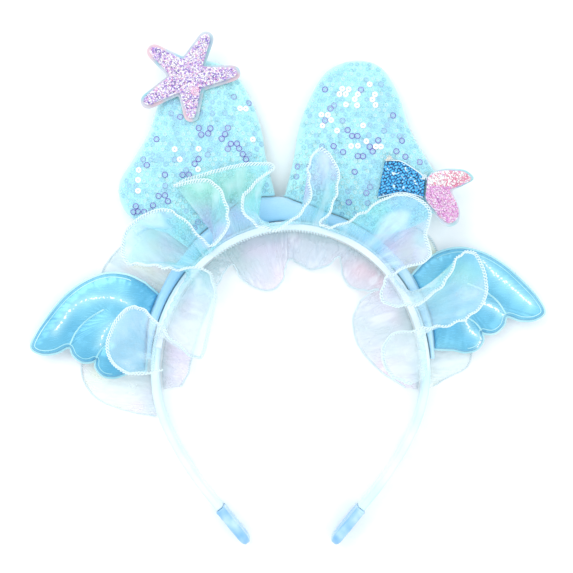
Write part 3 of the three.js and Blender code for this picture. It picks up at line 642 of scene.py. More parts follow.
# where single sequins get a painted white glint or show violet rims, as shares across and up each ear
GLINTING_SEQUINS = {
    -1: np.array([(0.255, 0.72), (0.224, 0.694), (0.18, 0.508), (0.867, 0.326), (0.874, 0.284), (0.87, 0.2),
                  (0.603, 0.387), (0.521, 0.335), (0.51, 0.46), (0.64, 0.45)]),
    1: np.array([(0.568, 0.845), (0.589, 0.803), (0.595, 0.725), (0.576, 0.767), (0.484, 0.779),
                 (0.484, 0.725), (0.421, 0.73), (0.378, 0.773), (0.403, 0.821), (0.434, 0.803), (0.45, 0.76),
                 (0.4, 0.78),
                 (0.31, 0.646), (0.248, 0.604), (0.259, 0.654), (0.285, 0.66), (0.353, 0.58), (0.502, 0.598),
                 (0.636, 0.471), (0.589, 0.477), (0.52, 0.497), (0.465, 0.467), (0.428, 0.467)])}
VIOLET_SEQUINS = {
    -1: np.array([(0.49, 0.58), (0.44, 0.585), (0.475, 0.55), (0.44, 0.55), (0.37, 0.53), (0.335, 0.535),
                  (0.315, 0.495), (0.28, 0.5), (0.254, 0.465), (0.235, 0.43), (0.22, 0.4), (0.501, 0.441),
                  (0.495, 0.38), (0.53, 0.365), (0.6, 0.315), (0.56, 0.318), (0.711, 0.287), (0.758, 0.498),
                  (0.82, 0.38), (0.745, 0.165), (0.715, 0.18), (0.69, 0.15), (0.891, 0.118), (0.86, 0.087),
                  (0.825, 0.09), (0.904, 0.072), (0.79, 0.105)]),
    1: np.array([(0.44, 0.567), (0.341, 0.467), (0.372, 0.453), (0.496, 0.405), (0.52, 0.43), (0.465, 0.316),
                 (0.428, 0.12), (0.624, 0.503), (0.76, 0.507), (0.558, 0.483), (0.265, 0.815), (0.496, 0.533),
                 (0.569, 0.459), (0.46, 0.53), (0.69, 0.66), (0.72, 0.46), (0.79, 0.42)])}


# the marks that give a sequin a painted white glint or a violet rim, and the share of more faint rims
GLINT_MARK, VIOLET_MARK, FAINT_MARK, FAINT_CHANCE = 0.99, 0.03, 0.08, 0.985


def sew_ear(label, side):
    """The cushion and its sequins. The rows of sequins are a step apart and each is set off by half
    a step, and a sequin tips a few degrees off the cloth it lies on."""
    outline = ear_outline(side)
    middle = np.array([EARS_OFFSET + side * 0.52 * EAR_WIDTH, 0.44 * EAR_HEIGHT])
    half = EAR_THICKNESS / 2 - 0.35

    def fullness(points):
        pucker = 0.012 * np.sin(points[..., 0] * 0.9) * np.sin(points[..., 1] * 0.8 + side)
        return stuffed_half(points, outline, EAR_ROUNDING, EAR_RIM) * (1 + pucker)

    pad = stuff_cushion("ear_pad_" + label, outline, middle, EAR_MIDDLE_Z, half, fullness, EAR_CLOTH)
    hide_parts("ear_" + label)

    rng = np.random.default_rng(40 + side)
    low, high = outline.min(0), outline.max(0)
    rows = np.arange(low[1], high[1], SEQUIN_STEP * ROW_SHARE)
    lines = [np.arange(low[0] + (k % 2) * SEQUIN_STEP / 2, high[0], SEQUIN_STEP) for k in range(len(rows))]
    places = np.concatenate([np.column_stack([line, np.full(len(line), row)])
                             for line, row in zip(lines, rows)])
    places = places + rng.normal(0, 0.22, places.shape)
    places = places[inside_outline(places, outline)]
    places = places[from_outline(places, outline) > SEQUIN_RADIUS * 0.75]
    tiny = 0.2
    height = half * fullness(places)
    slope = [(half * fullness(places + shift) - height) / tiny for shift in ((tiny, 0), (0, tiny))]
    share = np.stack([side * (places[:, 0] - EARS_OFFSET) / EAR_WIDTH, places[:, 1] / EAR_HEIGHT], axis=1)
    origins, normals, gleams = [], [], []
    for face in (1, -1):
        lean = rng.normal(0, 0.07, (len(places), 3))
        normals.append(np.column_stack([-slope[0], -slope[1], np.ones(len(places))]) * (1, 1, face) + lean)
        origins.append(np.column_stack([places, EAR_MIDDLE_Z + face * (height + 0.05)]))
        gleam = rng.uniform(0.12, 0.89, len(places))
        gleam = np.where(rng.uniform(0, 1, len(places)) > FAINT_CHANCE, FAINT_MARK, gleam)
        for spots, value in ((VIOLET_SEQUINS[side], VIOLET_MARK), (GLINTING_SEQUINS[side], GLINT_MARK)):
            gap = np.linalg.norm((share[:, None] - spots) * (EAR_WIDTH, EAR_HEIGHT), axis=-1)
            gleam[gap.argmin(0)] = value
        gleams.append(gleam)
    origins, normals, gleams = map(np.concatenate, (origins, normals, gleams))
    axes = turned_axes(normals, rng.uniform(0, 2 * np.pi, len(origins)))
    sequins = lay_copies("ear_sequins_" + label, *sequin_shape(), origins, axes, CLEAR_SEQUIN,
                         {"gleam": gleams})


sew_ear("left", -1)
sew_ear("right", 1)

# A starfish cut from glitter cloth is glued to a slightly larger backing of pale pearly cloth, and
# the backing is stitched to the top of the left ear. Loose flakes of glitter stand on its face.
STAR_X, STAR_Y, STAR_REACH, STAR_WAIST = EARS_OFFSET - 45.3, 72.8, 26, 10.2
STAR_ARM_RADIUS, STAR_BORDER = 3.9, 1.6
PATCH_BACK, BACKING_THICKNESS = 13.9, 0.9
PATCH_TOP, STAR_THICKNESS = 15.1, 2.4
# where each arm points, in degrees from the right, and its share of the longest arm
STAR_ARMS = np.array([(5, 1), (65, 0.95), (143, 0.95), (211, 1.03), (275, 0.86), (365, 1)])


def toward(degrees, length):
    """A step of some length at an angle from the right."""
    angle = np.radians(degrees)
    return np.stack([np.cos(angle) * length, np.sin(angle) * length], axis=-1)


def soften_loop(points, count, reach):
    """A closed outline cut into even steps, each point then averaged with its neighbours by a bell
    curve of the given reach, so that its corners turn round."""
    loop = even_loop(points, count)
    step = np.linalg.norm(loop[1] - loop[0])
    offset = np.arange(-12, 13)
    weight = np.exp(-0.5 * (offset * step / reach) ** 2)
    return sum(w * np.roll(loop, k, axis=0) for w, k in zip(weight / weight.sum(), offset))


def star_outline(inset):
    """Five arms with half-round ends, joined by straight sides at the notches between them."""
    centre = np.array([STAR_X, STAR_Y])
    points = []
    for (bearing, reach), (following, _) in zip(STAR_ARMS, STAR_ARMS[1:]):
        heart = centre + toward(bearing, reach * STAR_REACH - STAR_ARM_RADIUS)
        points.append(heart + toward(bearing + np.linspace(-85, 85, 9), STAR_ARM_RADIUS - inset))
        points.append(centre + toward(np.array([(bearing + following) / 2]), STAR_WAIST - inset))
    return soften_loop(np.concatenate(points), 300, 0.8)


# a top patch sinks into its backing and keeps clear of it, and its face domes up near its edge
PATCH_SUNK, PATCH_TRIM, DOME_REACH = 0.25, 0.2, 3.5


def cut_patch(name, outline, middle, back, thickness, finish, dome=0.0, rings=8):
    """A flat cut piece: its outline shrinks in rings to a middle point under the back and over the
    face. The edge turns on a quarter circle, and the face may rise in a dome."""
    soft = 0.3
    ahead, behind = np.roll(outline, -1, axis=0), np.roll(outline, 1, axis=0)
    inward = unit(np.stack([behind[:, 1] - ahead[:, 1], ahead[:, 0] - behind[:, 0]], axis=1))
    inward *= np.sign(((middle - outline) * inward).sum(1).mean())
    turn = np.linspace(0, np.pi / 2, 5)
    edge_in = np.concatenate([soft * (1 - np.sin(turn)), soft * (1 - np.cos(turn))])
    edge_up = np.concatenate([back + soft * (1 - np.cos(turn)), back + thickness - soft * (1 - np.sin(turn))])
    sides = outline + inward * edge_in[:, None, None]
    sides = np.concatenate([sides, np.broadcast_to(edge_up[:, None, None], (*sides.shape[:2], 1))], axis=-1)
    share = np.linspace(0.03, 0.985, rings)
    core = outline + inward * soft
    inner = middle + (core - middle) * share[:, None, None]
    under = np.concatenate([inner, np.full((*inner.shape[:2], 1), back)], axis=-1)
    rise = dome * stuffed_half(inner, outline, DOME_REACH, 0.0)
    over = np.concatenate([inner, (back + thickness + rise)[..., None]], axis=-1)[::-1]
    return lay_surface(name, np.concatenate([under, sides, over]), finish, across=True, poles=True)


FILM_TONES = ("First", "Second", "Third", "Fourth")


def make_pearl_film():
    """A pearly film: two noises choose between four tones, and a third decides how far."""
    group, start, end = start_group(
        "pearl_film",
        [("Coordinates", "NodeSocketVector", None), ("Scale", "NodeSocketFloat", 30.0),
         *((label, "NodeSocketColor", None) for label in FILM_TONES)],
        [("Color", "NodeSocketColor"), ("Drift", "NodeSocketFloat")])
    drifts = []
    for shift in (0.0, 7.3, 19.1):
        moved = add(group, "ShaderNodeVectorMath", {0: start.outputs["Coordinates"], 1: (shift, shift, 0.0)},
                    operation="ADD")
        drifts.append(spread(group, noise(group, moved.outputs[0], start.outputs["Scale"]), 0.38, 0.62))
    cool = blend_colours(group, drifts[0], start.outputs["First"], start.outputs["Second"])
    warm = blend_colours(group, drifts[1], start.outputs["Third"], start.outputs["Fourth"])
    group.links.new(blend_colours(group, drifts[2], cool, warm), end.inputs["Color"])
    group.links.new(drifts[2], end.inputs["Drift"])
    return group


PEARL_FILM = make_pearl_film()


def film_colour(tree, where, scale, tones):
    """The film's colour for four tones of its own."""
    tones = dict(zip(FILM_TONES, map(paint, tones)))
    return use_group(tree, PEARL_FILM, Coordinates=where, Scale=scale, **tones)["Color"]


def make_pearl_backing(name, *tones):
    """Pearly backing cloth: four drifting tones over a fine felted grain."""
    finish, tree, shader = new_finish(name)
    where = from_object(tree)
    felt = noise(tree, where, 1600.0, 5.0)
    feed(tree, shader, film_colour(tree, where, 90.0, tones), spread(tree, felt, 0.3, 0.7, 0.28, 0.5),
         (felt, 0.35, 0.0002), {"Sheen Weight": 0.3})
    return finish


def make_glitter_grain():
    """Glitter seen from afar: small cells, each with a random value, a tilt and a raised middle."""
    group, start, end = start_group(
        "glitter_grain",
        [("Coordinates", "NodeSocketVector", None), ("Scale", "NodeSocketFloat", 1200.0)],
        [("Random", "NodeSocketFloat"), ("Height", "NodeSocketFloat")])
    cells = add(group, "ShaderNodeTexVoronoi", {"Vector": start.outputs["Coordinates"],
                                                "Scale": start.outputs["Scale"]})
    parts = add(group, "ShaderNodeSeparateColor", {"Color": cells.outputs["Color"]})
    lifted = add(group, "ShaderNodeMath", {0: parts.outputs["Green"], 1: cells.outputs["Distance"]},
                 operation="SUBTRACT")
    group.links.new(parts.outputs["Red"], end.inputs["Random"])
    group.links.new(lifted.outputs[0], end.inputs["Height"])
    return group


GLITTER_GRAIN = make_glitter_grain()


def glitter(name, *stops):
    """Glitter cloth: each grain takes a tone from the ramp and its own gloss."""
    finish, tree, shader = new_finish(name)
    grain = use_group(tree, GLITTER_GRAIN, Coordinates=from_object(tree), Scale=1100.0)
    feed(tree, shader, ramp(tree, grain["Random"], *stops),
         spread(tree, grain["Random"], 0.0, 1.0, 0.55, 0.2), (grain["Height"], 0.8, 0.0004))
    return finish


def flakes(name, *stops):
    """Loose glitter flakes: each has one tone from the ramp, with a metal's shine."""
    finish, tree, shader = new_finish(name)
    scratch = noise(tree, from_object(tree), 6000.0)
    feed(tree, shader, ramp(tree, read_mark(tree, "tone"), *stops),
         spread(tree, scratch, 0.3, 0.7, 0.15, 0.35), fixed={"Metallic": 0.35, "Coat Weight": 0.4})
    return finish


FLAKE_RADIUS, FLAKE_THICKNESS = 0.52, 0.06


def scatter_flakes(name, outline, level, count, seed, finish, tone_of):
    """Thin six-sided plates strewn inside an outline at a level, each tipped and turned at random.
    A plate is two hexagons joined by a narrow edge."""
    rng = np.random.default_rng(seed)
    places = rng.uniform(outline.min(0), outline.max(0), (count * 3, 2))
    places = places[inside_outline(places, outline)]
    places = places[from_outline(places, outline) > FLAKE_RADIUS][:count]
    turn = np.radians(np.arange(0, 360, 60))
    hexagon = np.stack([np.cos(turn), np.sin(turn)], axis=1) * FLAKE_RADIUS
    shape = np.concatenate([np.column_stack([hexagon, np.full(6, z)]) for z in (FLAKE_THICKNESS, 0)])
    ring = np.arange(6)
    sides = np.stack([ring, ring + 6, (ring + 1) % 6 + 6, (ring + 1) % 6], axis=1)
    top = np.array([[0, 1, 2, 3], [0, 3, 4, 5]])
    faces = np.concatenate([top, (top + 6)[:, ::-1], sides])
    uv = shape[:, :2] / FLAKE_RADIUS / 2 + 0.5
    normals = np.column_stack([rng.normal(0, 0.32, (len(places), 2)), np.ones(len(places))])
    origins = np.column_stack([places, level(places) + rng.uniform(0.02, 0.2, len(places))])
    size = rng.uniform(0.7, 1.25, len(places))[:, None, None]
    axes = turned_axes(normals, rng.uniform(0, 2 * np.pi, len(places))) * size
    tone = tone_of(places, rng.uniform(0, 1, len(places)))
    return lay_copies(name, shape, faces, uv, origins, axes, finish, {"tone": tone})


ROSE_PEARL = make_pearl_backing("rose_pearl", "#97d2da", "#cfd6de", "#e2c6cd", "#bcc8d4")
TEAL_PEARL = make_pearl_backing("teal_pearl", "#a2dadd", "#c6e9ea", "#dbe4ec", "#b4dde2")
LILAC_STOPS = ((0.0, "#7a66b0"), (0.1, "#a08ad8"), (0.25, "#cba8ec"), (0.38, "#e8ccf4"),
               (0.48, "#f3a9d8"), (0.53, "#fdf1f8"), (0.75, "#ffffff"))
LILAC_GLITTER = glitter("lilac_glitter", *LILAC_STOPS)
LILAC_FLAKES = flakes("lilac_flakes", *LILAC_STOPS)


def glue_star():
    """The backing, the glitter cloth on it and its flakes."""
    middle, edge, face = np.array([STAR_X, STAR_Y]), star_outline(0), star_outline(STAR_BORDER)
    dome, rose, rose_radius = 0.35, middle + (4, -7.5), 2.2
    backing = cut_patch("star_felt", edge, middle, PATCH_BACK, BACKING_THICKNESS, ROSE_PEARL)
    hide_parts("star_backing")
    top = cut_patch("star_top", face, middle, PATCH_TOP - PATCH_SUNK, STAR_THICKNESS - PATCH_TRIM,
                    LILAC_GLITTER, dome=dome, rings=22)
    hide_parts("star_glitter")

    def level(points):
        rise = dome * stuffed_half(points, face, DOME_REACH, 0.0)
        return PATCH_TOP + STAR_THICKNESS - (PATCH_SUNK + PATCH_TRIM) + rise

    def tone_of(points, random):
        return np.where(np.linalg.norm(points - rose, axis=1) < rose_radius, 0.47 + 0.06 * random, random)

    grains = scatter_flakes("star_flakes", face, level, 2600, 5, LILAC_FLAKES, tone_of)


glue_star()

# A mermaid's tail is glued to the side of the right ear. Its body is blue scale cloth, embossed
# with rows of round scales, and its two-lobed fin is pink glitter cloth on a pearly backing.
TAIL_X, TAIL_Y, TAIL_LENGTH, TAIL_SPAN = EARS_OFFSET + 47.5, 17.5, 48, 28
TAIL_BORDER, TAIL_THICKNESS = 1.2, 2.2
SCALE_STEP, SCALE_RISE = 1.75, 0.42
TAIL_THREAD_RADIUS = 0.28
# corners of the body's upper and lower edge, of the fin's edge at the body and of its two lobes,
# as shares of the length and the span
TAIL_UPPER = np.array([(0.09, 0.5), (0.17, 0.505), (0.25, 0.49), (0.38, 0.36), (0.507, 0.205)])
TAIL_LOWER = np.array([(0.01, -0.15), (0.13, -0.1), (0.25, -0.06), (0.37, -0.09), (0.487, -0.15)])
FIN_ROOT = np.array([(0.503, -0.155), (0.513, 0.03), (0.524, 0.2)])
FIN_LOBES = np.array([
    (0.58, 0.3), (0.69, 0.355), (0.82, 0.36), (0.93, 0.325), (1.005, 0.19), (0.89, 0.06), (0.79, -0.03),
    (0.83, -0.22), (0.865, -0.42), (0.84, -0.59), (0.75, -0.66), (0.66, -0.57), (0.56, -0.35)])

def thread_finish(name, dark, light):
    """Spun thread: fine twisted strands, with a painted highlight where they stand up and painted shade
    between them.
    """
    finish, tree, shader = new_finish(name)
    strand = noise(tree, from_object(tree), 2600.0, 3.0)
    # painted highlight on the raised strands, painted shade between them
    feed(tree, shader, ramp(tree, strand, (0.3, dark), (0.6, light)),
         spread(tree, strand, 0.3, 0.7, 0.65, 0.5), (strand, 0.4, 0.0001), {"Sheen Weight": 0.5})
    return finish


WHITE_THREAD = thread_finish("white_thread", "#c8e6ee", "#eefafc")
PALE_THREAD = thread_finish("pale_thread", "#c6dde6", "#eaf5f8")
BEIGE_THREAD = thread_finish("beige_thread", "#cfc6b8", "#f1ece2")
UPWARDS = np.array([0.0, 0.0, 1.0])


def carry_ring(name, path, first, second, radius, sides, finish, closed=False):
    """A round cord: a circle carried along a path, in the plane of two directions given there."""
    turn = np.linspace(0, 2 * np.pi, sides, endpoint=False)
    ring = np.cos(turn)[:, None] * first[:, None] + np.sin(turn)[:, None] * second[:, None]
    points = path[:, None] + radius * ring
    return lay_surface(name, points, finish, around=closed, across=True, poles=not closed)


def lay_cord(name, line, radius, sides, finish, closed=False):
    """A cord along a line that lies nearly level: its circle stands on the line's direction, which
    is the step between the points before and after."""
    ahead = np.roll(line, -1, axis=0) - np.roll(line, 1, axis=0) if closed else np.gradient(line, axis=0)
    up = np.broadcast_to(UPWARDS, line.shape)
    return carry_ring(name, line, np.cross(unit(ahead), up), up, radius, sides, finish, closed)


# each ring of a stitch: its place along the thread and its width, as shares
STITCH_PROFILE = ((-0.5, 0.3), (-0.42, 0.85), (0.0, 1.0), (0.42, 0.85), (0.5, 0.3))


def stitch_shape(length, radius):
    """One short stitch: rings of eight points along the thread, drawn in at its ends, and each end
    closed by three faces."""
    sides = 8
    turn = np.linspace(0, 2 * np.pi, sides, endpoint=False)
    shape = np.concatenate([np.column_stack([np.full(sides, x * length), radius * size * np.cos(turn),
                                             radius * size * np.sin(turn)]) for x, size in STITCH_PROFILE])
    end = np.array([[0, 1, 2, 3], [0, 3, 4, 5], [0, 5, 6, 7]])
    rings = len(STITCH_PROFILE)
    faces = np.concatenate([ring_faces(rings, sides), end[:, ::-1], end + (rings - 1) * sides])
    uv = np.column_stack([shape[:, 0] / length + 0.5, np.tile(turn / (2 * np.pi), rings)])
    return shape, faces[:, ::-1], uv


KNOT_THREADS, KNOT_LENGTH, KNOT_RADIUS, KNOT_SEED = 16, 2.1, 0.15, 21


def knot_thread(name, spot, finish):
    """A tuft of cut thread ends where a patch is tied on: short lengths of thread round one spot,
    each turned its own way."""
    rng = np.random.default_rng(KNOT_SEED)
    origins = spot + rng.normal(0, (0.75, 0.45, 0.12), (KNOT_THREADS, 3))
    normals = np.column_stack([rng.normal(0, 0.3, (KNOT_THREADS, 2)), np.ones(KNOT_THREADS)])
    axes = turned_axes(normals, rng.uniform(0, 2 * np.pi, KNOT_THREADS))
    tuft = lay_copies(name, *stitch_shape(KNOT_LENGTH, KNOT_RADIUS), origins, axes, finish)
    return tuft


def on_tail(shares):
    """Places on the tail from shares of its length and span."""
    return shares * (TAIL_LENGTH, TAIL_SPAN) + (TAIL_X, TAIL_Y)


def make_scale_cloth():
    """Embossed scale cloth: dark blue gaps and bright blue scales, painted shade and highlight, with
    patches of painted shade in the gaps, of paler painted sparkle, and pale painted glints by a noise."""
    finish, tree, shader = new_finish("blue_scale_cloth")
    dome = read_mark(tree, "dome")
    where = from_object(tree)
    cloud, patchy = noise(tree, where, 420.0, 1.0), noise(tree, where, 760.0, 1.0)
    # painted shade in the gaps between scales and painted highlight over each scale
    colour = ramp(tree, dome, (0.05, "#083466"), (0.35, "#1272b8"), (0.7, "#229fe2"), (1.0, "#48bff4"))
    # patches of painted shade in the gaps
    low = combine(tree, spread(tree, patchy, 0.52, 0.4), spread(tree, dome, 0.95, 0.5), "MULTIPLY")
    colour = blend_colours(tree, low, colour, "#06264f")
    # patches of paler painted sparkle
    colour = blend_colours(tree, spread(tree, patchy, 0.58, 0.68, 0.0, 0.6), colour, "#8fd4f4")
    # pale painted glints scattered by a noise, not by the scales' height
    colour = blend_colours(tree, spread(tree, cloud, 0.62, 0.7), colour, "#d9f2ff")
    feed(tree, shader, colour, spread(tree, cloud, 0.3, 0.7, 0.18, 0.36),
         fixed={"Metallic": 0.25, "Coat Weight": 0.3})
    return finish


def emboss_tail():
    """Straight lines from the lower edge to the upper edge, with a dome on each point of a grid of
    even triangles. The cloth turns down at its border, and its back is flat."""
    s = np.linspace(0, 1, 150)
    t = np.linspace(0, 1, 110)[:, None, None]
    lower, upper = (curve_through(on_tail(edge), s) for edge in (TAIL_LOWER, TAIL_UPPER))
    flat = lower + (upper - lower) * t
    right = flat[..., 0] + 0.3 * np.sin(1.7 * flat[..., 1] + 0.8 * flat[..., 0])
    ahead = flat[..., 1] + 0.3 * np.sin(1.4 * flat[..., 0] - 0.6 * flat[..., 1]) - 0.25 * flat[..., 0]
    row_step = SCALE_STEP * ROW_SHARE
    row = np.round(ahead / row_step)
    offset = (row % 2) / 2
    column = np.round(right / SCALE_STEP - offset) + offset
    gap = np.hypot(right - column * SCALE_STEP, ahead - row * row_step)
    dome = np.sqrt(np.clip(1 - (gap / (0.5 * SCALE_STEP)) ** 2, 0, 1))
    from_edge = np.minimum(np.minimum(s, 1 - s)[None, :] * TAIL_LENGTH / 2,
                           np.minimum(t, 1 - t)[..., 0] * TAIL_SPAN * 0.55)
    border = np.sqrt(np.clip(1 - (1 - np.clip(from_edge / 0.8, 0, 1)) ** 2, 0, 1))
    top = PATCH_BACK + 0.3 + (TAIL_THICKNESS - 0.7) * border + SCALE_RISE * dome * border
    face = np.concatenate([flat, top[..., None]], axis=-1)
    back = np.concatenate([flat, np.full((*flat.shape[:2], 1), PATCH_BACK)], axis=-1)
    points = np.concatenate([face, back[:, ::-1]], axis=1)
    marks = {"dome": np.concatenate([dome, dome[:, ::-1]], axis=1)}
    piece = lay_surface("tail_scales", points, make_scale_cloth(), across=True, poles=True, marks=marks)
    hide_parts("tail_body")
    for label, edge in (("lower", lower), ("upper", upper)):
        line = np.column_stack([edge, np.full(len(edge), PATCH_BACK + TAIL_THICKNESS - 0.35)])[2:-2:3]
        lay_cord("tail_thread_" + label, line, TAIL_THREAD_RADIUS, 8, WHITE_THREAD)


emboss_tail()

PINK_STOPS = ((0.0, "#c08ac8"), (0.1, "#e79cdc"), (0.26, "#f3b6e8"), (0.38, "#fbeefa"),
              (0.5, "#f29ab8"), (0.64, "#f8b4c8"), (0.8, "#fbe4e9"), (0.9, "#ffffff"))
PINK_GLITTER = glitter("pink_glitter", *PINK_STOPS)
PINK_FLAKES = flakes("pink_flakes", *PINK_STOPS)


def glue_fin():
    """The fin's backing, its glitter cloth and its flakes. The lower lobe's flakes are orchid and
    the upper lobe's run from white at the root to salmon at the tip."""
    knots = np.concatenate([FIN_ROOT[2:], FIN_LOBES, FIN_ROOT[:1]])
    lobes = curve_through(on_tail(knots), np.linspace(0, 1, 300))
    middle = on_tail(np.array([0.68, 0.02]))
    edge = soften_loop(np.concatenate([on_tail(FIN_ROOT), lobes[1:-1]]), 260, 0.3)
    away = unit(edge - middle)
    border = TAIL_BORDER * np.clip((edge[:, :1] - edge[:, 0].min() - 1) / 2.5, 0, 1)
    border = border * (1 + 0.6 * away @ np.array([[0.85], [-0.5]]))
    inner = edge - away * border
    backing = cut_patch("fin_felt", edge, middle, PATCH_BACK, BACKING_THICKNESS, TEAL_PEARL)
    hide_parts("tail_backing")
    dome = 0.3
    top = cut_patch("fin_top", inner, middle, PATCH_TOP - PATCH_SUNK, TAIL_THICKNESS - PATCH_TRIM,
                    PINK_GLITTER, dome=dome, rings=22)
    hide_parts("tail_fin")

    def level(points):
        rise = dome * stuffed_half(points, inner, DOME_REACH, 0.0)
        return PATCH_TOP + TAIL_THICKNESS - (PATCH_SUNK + PATCH_TRIM) + rise

    def tone_of(points, random):
        upper = (points[:, 1] - TAIL_Y) / TAIL_SPAN > 0.05
        out = np.clip((points[:, 0] - TAIL_X) / TAIL_LENGTH * 2.4 - 1.3, 0, 1)
        pale = np.where(random > 0.22 + 0.5 * out, 0.85 + 0.12 * random, 0.5 + 0.2 * random)
        return np.where(upper, pale, 0.42 * random ** 0.6)

    grains = scatter_flakes("fin_flakes", inner, level, 1300, 9, PINK_FLAKES, tone_of)


glue_fin()
for label, spot, finish in (("beige", (0.125, 0.54), BEIGE_THREAD), ("white", (0.487, 0.205), WHITE_THREAD)):
    knot_thread("tail_knot_" + label, np.append(on_tail(np.array(spot)), PATCH_TOP + 1.2), finish)

# Two padded wings of shiny satin stand on the roll, one each side. Each is two layers stuffed
# and quilted into three feathers, with a corded piping of pale satin round its edge.
WING_AT_LEFT, WING_AT_RIGHT = 95, 85
WING_LENGTH, WING_CHORD, WING_THICKNESS, WING_ROUNDING, WING_RIM = 62, 52, 8, 6, 0.22
PIPING_RADIUS, SEAM_CORD_RADIUS = 0.95, 0.6
WELT_INSET, WELT_RADIUS, WELT_START = 1.75, 0.24, 0.3
# outline from the top of the root over the leading edge and round the feathers, then the two sewn
# lines between them, as shares of the chord down the band and of the length away from it
WING_OUTLINE = np.array([
    (-0.52, 0.2), (-0.56, 0.34), (-0.54, 0.5), (-0.44, 0.65), (-0.28, 0.78), (-0.08, 0.88), (0.16, 0.97),
    (0.3, 0.985), (0.335, 0.9), (0.3, 0.79), (0.22, 0.69), (0.29, 0.645), (0.335, 0.56), (0.31, 0.485),
    (0.28, 0.46), (0.36, 0.45), (0.425, 0.38), (0.42, 0.29), (0.36, 0.2)])
WING_SEAMS = [np.array([(0.22, 0.69), (0.06, 0.655), (-0.08, 0.58), (-0.2, 0.47)]),
              np.array([(0.28, 0.46), (0.19, 0.435), (0.09, 0.37)])]
# the lines along each feather where a pale painted highlight and painted white glints run
WING_GLINT_LINES = {
    -1: [np.array([(0.1, 0.82), (-0.19, 0.7), (-0.29, 0.56), (-0.325, 0.4), (-0.3, 0.29)]),
         np.array([(-0.1, 0.385), (0.01, 0.43), (0.14, 0.445)])],
    1: [np.array([(-0.36, 0.64), (-0.175, 0.715), (-0.07, 0.777), (0.06, 0.834), (0.175, 0.898)]),
        np.array([(0.03, 0.544), (0.1, 0.607), (0.196, 0.66)]),
        np.array([(0.14, 0.36), (0.25, 0.377), (0.345, 0.43), (0.41, 0.39)])]}


def make_wing_satin():
    """Shiny padded satin: deep blue tones of painted sheen that drift with its cloud, a pale painted
    highlight along a line on each feather, a ragged row of painted white glints on it, and painted
    shade at the seams and round the edge."""
    finish, tree, shader = new_finish("wing_satin")
    where = from_object(tree)
    cloth = use_group(tree, SATIN_THREADS, Coordinates=where, Threads=3000.0, Clouds=45.0)
    ridge = read_mark(tree, "ridge")
    # painted sheen: the satin's tones drift with its cloud
    colour = ramp(tree, cloth["Cloud"], (0.3, "#5aafd4"), (0.5, "#6ebfde"), (0.7, "#86d2ea"))
    # painted highlight along each feather's glint line
    colour = blend_colours(tree, spread(tree, ridge, 0.1, 0.95, 0.0, 0.7), colour, "#b0e6f2")
    ragged = combine(tree, noise(tree, where, 900.0), ridge, "ADD")
    # painted white glints, made ragged by a noise
    colour = blend_colours(tree, spread(tree, ragged, 1.36, 1.46), colour, "#ffffff")
    # painted shade at the seams and round the edge, where the crease mark is high
    colour = blend_colours(tree, read_mark(tree, "crease"), colour, "#478fbe")
    feed(tree, shader, colour, spread(tree, cloth["Height"], 0.3, 0.7, 0.18, 0.3),
         (cloth["Height"], 0.2, 0.0001), {"Metallic": 0.2, "Sheen Weight": 0.2})
    return finish


WING_SATIN = make_wing_satin()
PIPING_SATIN = satin("piping_satin", "#92d2e0", "#aee4ec", "#cdf4f6", 7000, 0.22)


def join_lines(lines):
    """The straight steps of several lines, as pairs of end points."""
    return np.concatenate([np.stack([line[:-1], line[1:]], axis=1) for line in lines])


